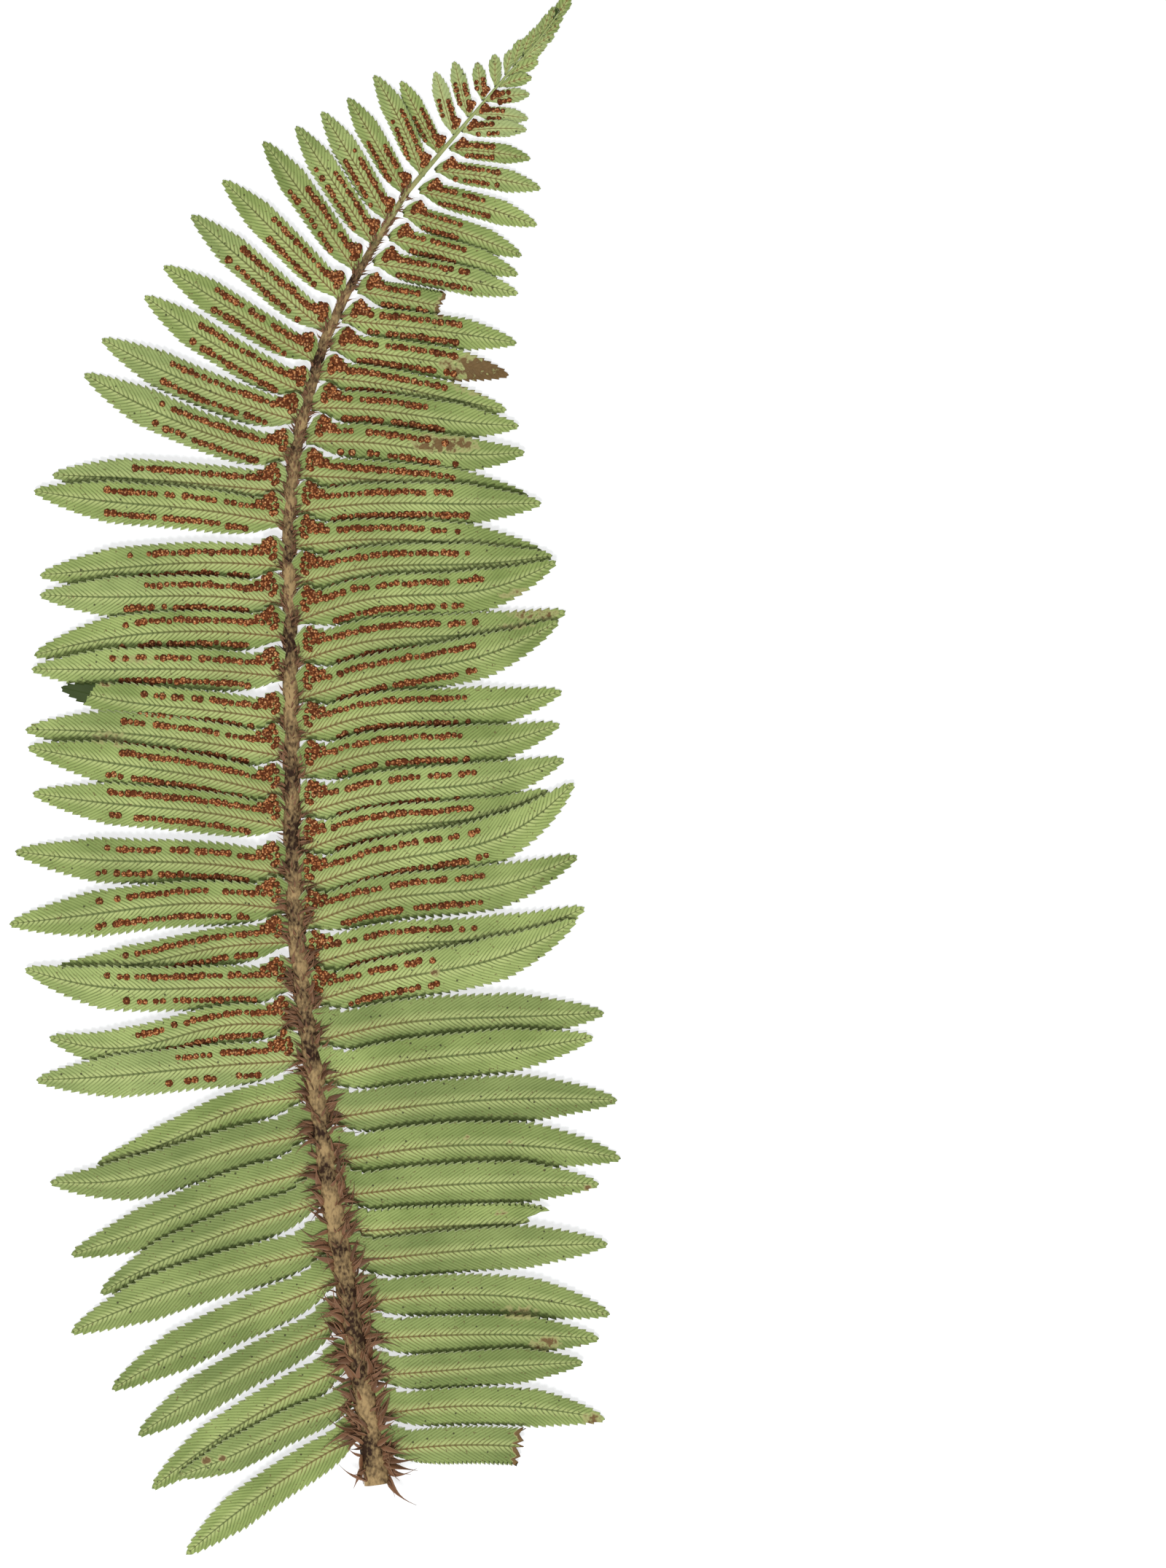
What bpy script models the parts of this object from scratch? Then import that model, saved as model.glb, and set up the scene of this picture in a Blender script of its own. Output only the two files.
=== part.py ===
"""Western sword fern: one cut frond, lying underside up on a flat surface.

The frond is a single leaf. A scaly stalk, the rachis, carries about ninety toothed
leaflets, the pinnae, each with an ear-shaped lobe at its base on the side towards the
frond's tip. Everything grew as one piece, so it is one solid.

Units are metres. +Z is up, +Y runs from the cut end to the tip, and the solid stands on
Z = 0 with the middle of its box on the Z axis. Places are given as pixels of the
photograph, x to the right and y down, and METRES_PER_PIXEL turns them into real sizes.
"""

import math
import random
from collections import namedtuple

import bmesh
import bpy
from mathutils import Matrix, Vector

# Driving dimensions
CUT_TO_APEX = 0.276
PIXELS_CUT_TO_APEX = 2044
METRES_PER_PIXEL = CUT_TO_APEX / PIXELS_CUT_TO_APEX
MILLIMETRE = 0.001

# Rachis: pixels along its middle from the cut end to the tip, and its half-width there
RACHIS_ROUTE = [
    (518, 2036, 18.0),
    (506, 1950, 17.5),
    (491, 1860, 17.0),
    (474, 1750, 16.5),
    (456, 1650, 16.0),
    (442, 1550, 15.0),
    (428, 1450, 14.5),
    (414, 1350, 14.0),
    (405, 1250, 13.5),
    (401, 1150, 13.0),
    (400, 1050, 12.5),
    (399, 950, 11.5),
    (398, 850, 10.5),
    (396, 760, 10.0),
    (398, 680, 9.5),
    (406, 615, 9.0),
    (420, 552, 8.5),
    (444, 470, 7.5),
    (475, 402, 6.5),
    (512, 338, 5.5),
    (556, 266, 4.5),
    (601, 213, 4.0),
    (646, 160, 3.5),
    (694, 104, 3.0),
    (737, 57, 2.5),
    (767, 17, 1.6),
]
# Section of the rachis, in half-widths across and heights up: flat below, round above
RACHIS_SECTION = [
    (-0.62, 0.0),
    (0.62, 0.0),
    (1.0, 0.42),
    (0.7, 0.86),
    (0.0, 1.0),
    (-0.7, 0.86),
    (-1.0, 0.42),
]
RACHIS_HEIGHT_IN_HALF_WIDTHS = 1.45
RACHIS_LEAST_HEIGHT = 0.9 * MILLIMETRE

# Pinnae. base is where the stalk leaves the rachis, bow and swing bend the rib by so many
# pixels as one arc and as an S, both positive towards the frond's tip at first, and lift
# is how many millimetres its end rides over the pinna above it.
Pinna = namedtuple("Pinna", "base tip bow swing lift cut", defaults=(0, 0, 0.0, None))

LEFT_PINNAE = [
    Pinna((492, 1970), (255, 2134), 10),
    Pinna((487, 1926), (243, 2026), 4, 8, 1.2),
    Pinna((477, 1873), (208, 2043), 14),
    Pinna((467, 1814), (189, 1970), 12),
    Pinna((460, 1760), (153, 1907), 15),
    Pinna((451, 1714), (97, 1829), 18),
    Pinna((440, 1651), (137, 1775), 16),
    Pinna((433, 1607), (97, 1722), 9, 4),
    Pinna((427, 1556), (68, 1622), -6, 7, 0.6),
    Pinna((420, 1506), (133, 1597), 7, 8),
    Pinna((411, 1456), (49, 1482), 0, 2),
    Pinna((406, 1409), (67, 1423), -8, 13, 0.4),
    Pinna((400, 1355), (34, 1329), -15, 5, 1.1),
    Pinna((395, 1294), (76, 1328), -2, 6),
    Pinna((393, 1249), (12, 1268), 14, 4),
    Pinna((391, 1200), (20, 1168), 2, 4),
    Pinna((390, 1136), (44, 1088), 4, 3),
    Pinna((389, 1094), (38, 1025), 4, 3, 1.1),
    Pinna((389, 1039), (34, 1001), 10),
    Pinna((389, 989), (84, 943), -4, 3, 1.8),
    Pinna((389, 930), (43, 918), 6, 2, 1.2),
    Pinna((388, 875), (46, 899), 19),
    Pinna((386, 828), (54, 816), 4, 3, 0.9),
    Pinna((386, 778), (54, 789), 9, 2),
    Pinna((387, 719), (46, 673), 2, 3, 0.9),
    Pinna((388, 675), (71, 651), 3),
    Pinna((397, 629), (115, 512), -17),
    Pinna((408, 578), (139, 464), -14),
    Pinna((418, 540), (198, 405), -12),
    Pinna((427, 493), (224, 364), -5),
    Pinna((444, 452), (262, 294), -5),
    Pinna((463, 407), (305, 246), -3),
    Pinna((485, 369), (361, 193), -1),
    Pinna((510, 333), (406, 172), -2),
    Pinna((531, 302), (441, 152), -1),
    Pinna((553, 265), (477, 133)),
    Pinna((577, 238), (513, 102), 5),
    Pinna((600, 208), (550, 110)),
    Pinna((621, 182), (597, 97)),
    Pinna((641, 158), (623, 83)),
    Pinna((661, 135), (655, 84)),
    Pinna((679, 116), (679, 73)),
    Pinna((693, 100), (702, 67)),
    Pinna((704, 89), (715, 53)),
    Pinna((715, 79), (727, 47)),
    Pinna((725, 69), (736, 37)),
    Pinna((735, 58), (747, 27)),
    Pinna((744, 47), (753, 18)),
    Pinna((753, 35), (762, 8)),
]

RIGHT_PINNAE = [
    Pinna((529, 1992), (830, 2005), 12, 0, 0.4, (0.62, 0.60)),
    Pinna((521, 1941), (830, 1948), 16, 0, 0.2),
    Pinna((511, 1888), (800, 1869), 2, 0, 1.4),
    Pinna((502, 1838), (822, 1837), 7, 0, 0.8),
    Pinna((494, 1789), (837, 1804), 20),
    Pinna((475, 1733), (834, 1707), 6, 0, 0.8),
    Pinna((467, 1692), (826, 1682), 6, 0, 0.0, (0.80, 0.58)),
    Pinna((460, 1643), (822, 1625), 10, 0, 0.5),
    Pinna((452, 1597), (852, 1590), 23),
    Pinna((445, 1537), (847, 1510), 13),
    Pinna((439, 1483), (814, 1423), 5, 4, 0.5),
    Pinna((434, 1430), (829, 1390), 13, 4),
    Pinna((427, 1376), (790, 1262), -12, 8, 1.1),
    Pinna((421, 1327), (802, 1245), -6, 11),
    Pinna((415, 1272), (792, 1174), -2, 11),
    Pinna((413, 1222), (787, 1074), -22, 14, 1.1),
    Pinna((413, 1170), (752, 1084), -3, 11),
    Pinna((413, 1118), (774, 1041), -2, 8),
    Pinna((413, 1065), (768, 993), 2, 10),
    Pinna((412, 1012), (771, 948), 5, 9),
    Pinna((411, 960), (766, 852), -9, 8, 1.1),
    Pinna((411, 908), (776, 838), 0, 10),
    Pinna((408, 853), (763, 770), -5, 12, 1.9),
    Pinna((407, 802), (758, 762), 7, 6, 1.1),
    Pinna((406, 750), (745, 757), 12, 2, 0.3),
    Pinna((408, 703), (743, 690), 6, 3, 1.0),
    Pinna((413, 653), (725, 680), 3, 1),
    Pinna((425, 606), (720, 620), -3, 5, 1.2),
    Pinna((432, 560), (712, 584), 2, 3, 0.8),
    Pinna((441, 518), (695, 562), 4, 2),
    Pinna((457, 478), (698, 514), 3),
    Pinna((473, 440), (709, 470), 3),
    Pinna((494, 400), (705, 442), 2, 0, 0.0, (0.53, 0.50)),
    Pinna((516, 362), (711, 402), 3),
    Pinna((537, 328), (711, 376), 3),
    Pinna((556, 295), (716, 350), 3),
    Pinna((578, 263), (737, 308), 3),
    Pinna((600, 234), (742, 258), 3),
    Pinna((619, 205), (728, 217), 3),
    Pinna((636, 180), (723, 177), 3),
    Pinna((653, 156), (725, 162), 2),
    Pinna((669, 138), (727, 128), 2),
    Pinna((686, 118), (730, 105), 2),
    Pinna((698, 103), (739, 83), 2),
    Pinna((710, 89), (743, 68), 2),
    Pinna((722, 75), (750, 57)),
    Pinna((734, 62), (760, 45)),
    Pinna((745, 48), (767, 32)),
    Pinna((754, 36), (771, 20)),
    Pinna((761, 26), (776, 8)),
]
TERMINAL_LOBE = Pinna((758, 30), (783, -8))

# Blade of a pinna. Its width follows its length; the other sizes are in half-widths.
WIDTH_AT_NO_LENGTH_PX = 12.0
WIDTH_PER_LENGTH = 0.135
PIXELS_PER_TOOTH = 44
FEWEST_TEETH = 3
TOOTH_DEPTH = 0.22
TOOTH_REACH = 0.9
STALK_HALF_WIDTH = 0.16
STALK_END = 0.12
FIRST_TOOTH_END = 1.5
AURICLE = [(0.1, 1.12), (0.62, 1.42)]
CUT_BACK_BASE = (1.35, 0.78)
TAPER_SHARE = 0.25
TAPER_POWER = 0.55
LAST_STATION = 0.93

# Heights, in millimetres for a pinna as long as FULL_LENGTH_PX
FULL_LENGTH_PX = 330
RIB_THICKNESS = 1.15
RIB_TAPER = 0.45
TIP_HEIGHT = 0.03
ARCH = 0.85
LEAST_ROOT_HEIGHT = 0.42
TILT = 0.21
# The tips lie on the surface: nothing of a pinna dips below this many millimetres
LEAST_PINNA_HEIGHT = 0.02

# Chaff: the brown coat of scales on the side of the rachis that faces up
CHAFF_END = 0.80
CHAFF_STATIONS = 28
CHAFF_GAP = 0.3 * MILLIMETRE
CHAFF_THICKNESS = 0.7 * MILLIMETRE
CHAFF_HALF_WIDTH = 0.72
SCALE_SEED = 7
SCALE_STEPS = 62
SCALE_LENGTH_AT_CUT = 5.6 * MILLIMETRE
SCALE_LENGTH_AT_END = 1.8 * MILLIMETRE
SCALE_SLIMNESS = 0.14
SCALE_HALF_THICKNESS = 0.35 * MILLIMETRE
SCALE_ANGLES = (12, 62)


def place(pixel, height=0.0):
    """The point under a pixel of the photograph, at a height in metres."""
    return Vector((pixel[0] * METRES_PER_PIXEL, -pixel[1] * METRES_PER_PIXEL, height))


def blend(a, b, share):
    return a + (b - a) * share


def above_surface(point):
    """The point, raised to the surface that the frond lies on if it dips below it."""
    return Vector((point.x, point.y, max(point.z, LEAST_PINNA_HEIGHT * MILLIMETRE)))


def ease(share):
    share = min(1.0, max(0.0, share))
    return share * share * (3 - 2 * share)


def crosswise(direction):
    """The flat direction a quarter turn to the left of this one."""
    return Vector((-direction.y, direction.x, 0)).normalized()


def material(name, colour, roughness):
    made = bpy.data.materials.new(name)
    made.use_nodes = True
    shader = made.node_tree.nodes["Principled BSDF"]
    shader.inputs["Base Color"].default_value = (*colour, 1)
    shader.inputs["Roughness"].default_value = roughness
    shader.inputs["Metallic"].default_value = 0.0
    return made


def finish_object(name, mesh_builder, collection):
    """Turns a bmesh of closed bodies into an object whose faces point outwards."""
    bmesh.ops.recalc_face_normals(mesh_builder, faces=mesh_builder.faces)
    if mesh_builder.calc_volume(signed=True) < 0:
        bmesh.ops.reverse_faces(mesh_builder, faces=mesh_builder.faces)
    mesh = bpy.data.meshes.new(name)
    mesh_builder.to_mesh(mesh)
    mesh_builder.free()
    made = bpy.data.objects.new(name, mesh)
    collection.objects.link(made)
    return made


def rachis_at(share):
    """Middle, half-width and height of the rachis at a share of its route's points."""
    position = share * (len(RACHIS_ROUTE) - 1)
    first = min(int(position), len(RACHIS_ROUTE) - 2)
    a, b = RACHIS_ROUTE[first], RACHIS_ROUTE[first + 1]
    rest = position - first
    middle = place(a[:2]).lerp(place(b[:2]), rest)
    half_width = blend(a[2], b[2], rest) * METRES_PER_PIXEL
    height = max(half_width * RACHIS_HEIGHT_IN_HALF_WIDTHS, RACHIS_LEAST_HEIGHT)
    return middle, half_width, height


def rachis_share_near(point, steps=400):
    """The share of the route that lies nearest to a point."""
    shares = [i / steps for i in range(steps + 1)]
    return min(shares, key=lambda s: (rachis_at(s)[0].xy - point.xy).length)


def rachis_direction(share, step=0.02):
    """The way the rachis runs there, towards the frond's tip."""
    before = rachis_at(max(0.0, share - step))[0]
    after = rachis_at(min(1.0, share + step))[0]
    return (after - before).normalized()


def loft(name, rings, collection):
    """A closed skin over rings of points that all have the same count."""
    builder = bmesh.new()
    rings = [[builder.verts.new(point) for point in ring] for ring in rings]
    count = len(rings[0])
    for ring, following in zip(rings, rings[1:]):
        for k in range(count):
            turn = (k + 1) % count
            builder.faces.new((ring[k], ring[turn], following[turn], following[k]))
    builder.faces.new(rings[0])
    builder.faces.new(rings[-1])
    return finish_object(name, builder, collection)


def make_rachis(name, collection):
    """The stalk: a flat-bottomed round section carried along the route."""
    rings = []
    last = len(RACHIS_ROUTE) - 1
    for i in range(len(RACHIS_ROUTE)):
        middle, half_width, height = rachis_at(i / last)
        across = -crosswise(rachis_direction(i / last)) * half_width
        up = Vector((0, 0, height))
        rings.append([middle + across * x + up * z for x, z in RACHIS_SECTION])
    return loft(name, rings, collection)


class PinnaShape:
    """Where a pinna's rib and margins run, worked out from its row."""

    def __init__(self, pinna, side):
        self.pinna = pinna
        self.side = side
        self.base = place(pinna.base)
        self.chord = place(pinna.tip) - self.base
        self.length = self.chord.length
        self.size = min(1.0, self.length / (FULL_LENGTH_PX * METRES_PER_PIXEL))
        width = WIDTH_AT_NO_LENGTH_PX * METRES_PER_PIXEL
        width += WIDTH_PER_LENGTH * self.length
        self.half_width = width / 2
        share = rachis_share_near(self.base)
        middle, rachis_half_width, rachis_height = rachis_at(share)
        self.along_rachis = rachis_direction(share)
        self.root_height = max(0.5 * rachis_height, LEAST_ROOT_HEIGHT * MILLIMETRE)
        self.root_depth = max((middle - self.base).xy.length, 0.9 * rachis_half_width)

    def rib(self, t):
        """Point on the middle of the rib at share t of its length, root side below 0."""
        towards_tip = crosswise(self.chord) * self.side
        bend = self.pinna.bow * 4 * t * (1 - t)
        bend += self.pinna.swing * math.sin(2 * math.pi * t)
        if t < 0:
            bend = 0.0
        point = self.base + self.chord * t + towards_tip * (bend * METRES_PER_PIXEL)
        end_height = (TIP_HEIGHT * self.size + self.pinna.lift) * MILLIMETRE
        arch = ARCH * self.size * MILLIMETRE * 4 * t * (1 - t)
        share = min(1.0, max(0.0, t))
        point.z = blend(self.root_height, end_height, share) + max(0.0, arch)
        return point

    def direction(self, t, step=0.02):
        flat = self.rib(min(1.0, t + step)) - self.rib(max(0.0, t - step))
        flat.z = 0
        return flat.normalized()

    def taper(self, t):
        return min(1.0, (max(0.0, 1 - t) / TAPER_SHARE) ** TAPER_POWER)

    def margin(self, t, width, upper):
        """Point at share t, width half-widths out, on the tip's side or the base's."""
        out = crosswise(self.direction(t)) * self.side
        if upper:
            distance = t * self.length / self.half_width
            out = self.along_rachis.lerp(out, ease(distance / 2.5)).normalized()
        sign = 1 if upper else -1
        reach = width * self.half_width
        point = self.rib(t) + out * (sign * reach)
        point.z += sign * TILT * reach
        return above_surface(point)

    def half_thickness(self, t):
        thickness = RIB_THICKNESS * MILLIMETRE * (1 - RIB_TAPER * max(0.0, t))
        return max(0.4, self.size) * thickness / 2


def tooth_stations(shape):
    """Shares of the length where the teeth end, with the last one before the tip."""
    first = FIRST_TOOTH_END * shape.half_width / shape.length
    pinna_pixels = shape.length / METRES_PER_PIXEL
    teeth = max(FEWEST_TEETH, round(pinna_pixels / PIXELS_PER_TOOTH))
    last = LAST_STATION
    return [blend(first, last, i / (teeth - 1)) for i in range(teeth)]


def margin_runs(shape, stations, upper):
    """For each stretch between rib stations, the margin's points from notch to notch."""
    start = STALK_END * shape.half_width / shape.length
    notch = 1 - TOOTH_DEPTH
    runs = []
    previous = shape.margin(start, STALK_HALF_WIDTH, upper)
    for i, end in enumerate(stations):
        begin = start if i == 0 else stations[i - 1]
        if i == 0 and upper:
            corners = [
                shape.margin(s * shape.half_width / shape.length, w, upper)
                for s, w in AURICLE
            ]
        elif i == 0:
            s, w = CUT_BACK_BASE
            corners = [shape.margin(s * shape.half_width / shape.length, w, upper)]
        else:
            at = blend(begin, end, TOOTH_REACH)
            corners = [shape.margin(at, shape.taper(at), upper)]
        following = shape.margin(end, notch * shape.taper(end), upper)
        runs.append([previous, *corners, following])
        previous = following
    return runs


def cut_stations(shape, stations):
    """Keeps the stations of a broken pinna up to its break."""
    if shape.pinna.cut is None:
        return stations
    end = sum(shape.pinna.cut) / 2
    return [s for s in stations if s < end - 0.03] + [end]


def make_pinna(name, pinna, side, collection):
    """One leaflet: a thin blade, thickest at its rib and sharp at its toothed margins."""
    shape = PinnaShape(pinna, side)
    stations = cut_stations(shape, tooth_stations(shape))
    stalk_end = STALK_END * shape.half_width / shape.length
    root = -shape.root_depth / shape.length
    builder = bmesh.new()

    rib = []
    for t in [root, stalk_end, *stations]:
        middle = shape.rib(t)
        up = Vector((0, 0, shape.half_thickness(t)))
        below = above_surface(middle - up)
        rib.append((builder.verts.new(middle + up), builder.verts.new(below)))

    ends = []
    for upper in (True, False):
        root_side = builder.verts.new(shape.margin(root, STALK_HALF_WIDTH, upper))
        runs = margin_runs(shape, stations, upper)
        if pinna.cut is not None:
            end = pinna.cut[0] if upper else pinna.cut[1]
            runs[-1][-1] = shape.margin(end, shape.taper(end), upper)
        margin = builder.verts.new(runs[0][0])
        for face in (0, 1):
            builder.faces.new((rib[0][face], root_side, margin))
            builder.faces.new((rib[0][face], margin, rib[1][face]))
        builder.faces.new((rib[0][0], root_side, rib[0][1]))
        for i, run in enumerate(runs):
            points = [margin] + [builder.verts.new(point) for point in run[1:]]
            for face in (0, 1):
                start, end = rib[i + 1][face], rib[i + 2][face]
                for a, b in zip(points[:-1], points[1:-1]):
                    builder.faces.new((start, a, b))
                builder.faces.new((start, points[-2], end))
                builder.faces.new((end, points[-2], points[-1]))
            margin = points[-1]
        ends.append(margin)

    if pinna.cut is None:
        tip = builder.verts.new(shape.rib(1.0))
        for margin in ends:
            for face in (0, 1):
                builder.faces.new((rib[-1][face], margin, tip))
    else:
        for margin in ends:
            builder.faces.new((rib[-1][0], margin, rib[-1][1]))
    return finish_object(name, builder, collection)


def make_scale(name, root, tip, half_width, collection):
    """One chaffy scale: a narrow pointed blade, widest near its root."""
    builder = bmesh.new()
    run = tip - root
    across = crosswise(run) * half_width
    middle = root + run * 0.4
    up = Vector((0, 0, SCALE_HALF_THICKNESS))
    ring = [middle + across, middle + up, middle - across, middle - up]
    verts = [builder.verts.new(point) for point in ring]
    start, end = builder.verts.new(root), builder.verts.new(tip)
    for k in range(4):
        a, b = verts[k], verts[(k + 1) % 4]
        builder.faces.new((start, a, b))
        builder.faces.new((end, b, a))
    return finish_object(name, builder, collection)


def make_coat(name, collection):
    """The matted bases of the scales: a thin arch that follows the top of the rachis."""
    rings = []
    for i in range(CHAFF_STATIONS):
        share = CHAFF_END * i / (CHAFF_STATIONS - 1)
        middle, half_width, height = rachis_at(share)
        across = -crosswise(rachis_direction(share)) * (half_width * CHAFF_HALF_WIDTH)
        edge = Vector((0, 0, 0.86 * height + CHAFF_GAP))
        crown = Vector((0, 0, height + CHAFF_GAP))
        thick = Vector((0, 0, CHAFF_THICKNESS))
        rings.append(
            [
                middle - across + edge,
                middle + crown,
                middle + across + edge,
                middle + across + edge + thick,
                middle + crown + thick,
                middle - across + edge + thick,
            ]
        )
    return loft(name, rings, collection)


def make_scales(collection):
    """Scales from both sides of the coat, longest and most spread near the cut end."""
    draw = random.Random(SCALE_SEED)
    for i in range(SCALE_STEPS):
        for side in (-1, 1):
            share = CHAFF_END * (i + draw.uniform(0.1, 0.9)) / SCALE_STEPS
            middle, half_width, height = rachis_at(share)
            along = rachis_direction(share)
            out = crosswise(along) * side
            length = blend(SCALE_LENGTH_AT_CUT, SCALE_LENGTH_AT_END, i / SCALE_STEPS)
            length *= draw.uniform(0.7, 1.15)
            angle = math.radians(draw.uniform(*SCALE_ANGLES))
            way = along * math.cos(angle) + out * math.sin(angle)
            root = middle + out * (0.4 * half_width)
            root.z = 0.93 * height + CHAFF_GAP + 0.6 * CHAFF_THICKNESS
            tip = root + way * length
            tip.z += draw.uniform(0.1, 0.7) * MILLIMETRE
            width = SCALE_SLIMNESS * length
            make_scale(f"scale_{i}_{side}", root, tip, width, collection)


def join_to(carrier, collection):
    """Fuses every object of the collection into the carrier and removes them."""
    union = carrier.modifiers.new("union", "BOOLEAN")
    union.operation = "UNION"
    union.operand_type = "COLLECTION"
    union.collection = collection
    union.solver = "MANIFOLD"
    bpy.context.view_layer.objects.active = carrier
    with bpy.context.temp_override(object=carrier, active_object=carrier):
        bpy.ops.object.modifier_apply(modifier=union.name)
    for part in list(collection.objects):
        bpy.data.objects.remove(part)
    bpy.data.collections.remove(collection)


def keep_main_body(made):
    """Fills the small hollows that crossing leaflets seal, by dropping their inner walls."""
    builder = bmesh.new()
    builder.from_mesh(made.data)
    left = set(builder.faces)
    bodies = []
    while left:
        front = [left.pop()]
        body = set(front)
        while front:
            for edge in front.pop().edges:
                for face in edge.link_faces:
                    if face not in body:
                        body.add(face)
                        front.append(face)
        left -= body
        bodies.append(body)
    bodies.sort(key=len)
    for body in bodies[:-1]:
        bmesh.ops.delete(builder, geom=list(body), context="FACES")
    builder.to_mesh(made.data)
    builder.free()


def centre_on_origin(solids):
    """Stands the solids on Z = 0, with the middle of their box over the origin."""
    points = [vertex.co for solid in solids for vertex in solid.data.vertices]
    low = [min(point[k] for point in points) for k in range(3)]
    high = [max(point[k] for point in points) for k in range(3)]
    shift = Vector((-(low[0] + high[0]) / 2, -(low[1] + high[1]) / 2, -low[2]))
    for solid in solids:
        solid.data.transform(Matrix.Translation(shift))


def make_frond():
    parts = bpy.data.collections.new("frond_parts")
    bpy.context.scene.collection.children.link(parts)
    frond = make_rachis("frond", bpy.context.scene.collection)
    for i, pinna in enumerate(LEFT_PINNAE):
        make_pinna(f"left_{i + 1}", pinna, -1, parts)
    for i, pinna in enumerate(RIGHT_PINNAE):
        make_pinna(f"right_{i + 1}", pinna, 1, parts)
    make_pinna("terminal_lobe", TERMINAL_LOBE, 1, parts)
    join_to(frond, parts)
    keep_main_body(frond)
    frond.data.materials.clear()
    frond.data.materials.append(material("leaf_green", (0.26, 0.36, 0.13), 0.55))
    return frond


def make_chaff():
    parts = bpy.data.collections.new("chaff_parts")
    bpy.context.scene.collection.children.link(parts)
    chaff = make_coat("rachis_scales", bpy.context.scene.collection)
    make_scales(parts)
    join_to(chaff, parts)
    keep_main_body(chaff)
    chaff.data.materials.clear()
    chaff.data.materials.append(material("scale_brown", (0.16, 0.08, 0.035), 0.7))
    return chaff


def main():
    for existing in list(bpy.data.objects):
        bpy.data.objects.remove(existing)
    centre_on_origin([make_frond(), make_chaff()])


main()
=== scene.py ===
"""Western sword fern: the looks of one cut frond that lies underside up.

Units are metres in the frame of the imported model: +Z up, +Y from the cut end towards the
tip. Places are given as pixels of the photograph, x to the right and y down, and place()
turns them into metres. Sizes along and across a leaflet are in its half-widths.
"""

import math
import random
from collections import namedtuple

import bpy
from mathutils import Euler, Matrix, Vector, noise


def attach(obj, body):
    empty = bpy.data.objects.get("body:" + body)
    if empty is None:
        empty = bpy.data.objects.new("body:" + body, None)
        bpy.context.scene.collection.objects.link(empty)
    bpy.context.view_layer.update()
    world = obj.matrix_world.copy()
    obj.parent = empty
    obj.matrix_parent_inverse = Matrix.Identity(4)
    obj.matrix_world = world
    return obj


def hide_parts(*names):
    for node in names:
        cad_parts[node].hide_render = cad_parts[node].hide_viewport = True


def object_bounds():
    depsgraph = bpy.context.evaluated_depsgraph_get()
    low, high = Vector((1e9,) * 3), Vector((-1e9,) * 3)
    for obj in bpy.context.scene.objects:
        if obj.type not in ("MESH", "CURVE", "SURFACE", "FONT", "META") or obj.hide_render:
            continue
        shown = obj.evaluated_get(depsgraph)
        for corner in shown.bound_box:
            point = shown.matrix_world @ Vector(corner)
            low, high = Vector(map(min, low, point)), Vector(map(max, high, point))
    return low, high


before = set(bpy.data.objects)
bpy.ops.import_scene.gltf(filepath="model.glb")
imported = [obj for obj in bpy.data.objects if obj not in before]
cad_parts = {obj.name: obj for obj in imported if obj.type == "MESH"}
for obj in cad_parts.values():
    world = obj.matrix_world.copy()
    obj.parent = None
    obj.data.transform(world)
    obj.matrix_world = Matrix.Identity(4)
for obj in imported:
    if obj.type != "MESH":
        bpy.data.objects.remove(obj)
cad_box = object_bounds()

# Scale of the photograph, and the pixel that lies over the origin
MILLIMETRE = 0.001
METRES_PER_PIXEL = 0.276 / 2044
ORIGIN_PIXEL = (432.0, 1063.0)
PHOTO_MIDDLE = (800.0, 1075.5)
PHOTO_LONG_SIDE_PX = 2151
BOX_MARGIN = 0.02 * MILLIMETRE
LOWEST_POINT = 0.03 * MILLIMETRE

# Rachis: pixels along its middle from the cut end to the tip, and its half-width there
RACHIS_ROUTE = [
    (518, 2036, 18.0),
    (506, 1950, 17.5),
    (491, 1860, 17.0),
    (474, 1750, 16.5),
    (456, 1650, 16.0),
    (442, 1550, 15.0),
    (428, 1450, 14.5),
    (414, 1350, 14.0),
    (405, 1250, 13.5),
    (401, 1150, 13.0),
    (400, 1050, 12.5),
    (399, 950, 11.5),
    (398, 850, 10.5),
    (396, 760, 10.0),
    (398, 680, 9.5),
    (406, 615, 9.0),
    (420, 552, 8.5),
    (444, 470, 7.5),
    (475, 402, 6.5),
    (512, 338, 5.5),
    (556, 266, 4.5),
    (601, 213, 4.0),
    (646, 160, 3.5),
    (694, 104, 3.0),
    (737, 57, 2.5),
    (767, 17, 1.6),
]
ROUTE_STEPS = 400
RACHIS_HEIGHT_IN_HALF_WIDTHS = 1.45
RACHIS_LEAST_HEIGHT = 0.9 * MILLIMETRE
# Beyond a share of the route it grows slimmer, by a share, over a stretch
RACHIS_SLIM_FROM = 0.72
RACHIS_SLIM_OVER = 0.2
RACHIS_SLIM_BY = 0.4
RACHIS_COLUMNS = 260
RACHIS_AROUND = 21
MERGE_DISTANCE = 0.000002
GROOVES = 7
GROOVE_DEPTH = 0.05
SCURF_DEPTH = 0.07
SCURF_SCALE = 900
SCURF_TURN = 1.3
GREEN_STALK_FROM_PX = 360
GREEN_STALK_FULL_PX = 170

# Pinnae. base is where the stalk leaves the rachis, bow and swing bend the rib by so many
# pixels as one arc and as an S, and lift is how many millimetres its end rides over the
# pinna above it. cut gives the shares of the length where a broken one ends.
Pinna = namedtuple("Pinna", "base tip bow swing lift cut", defaults=(0, 0, 0.0, None))

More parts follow.
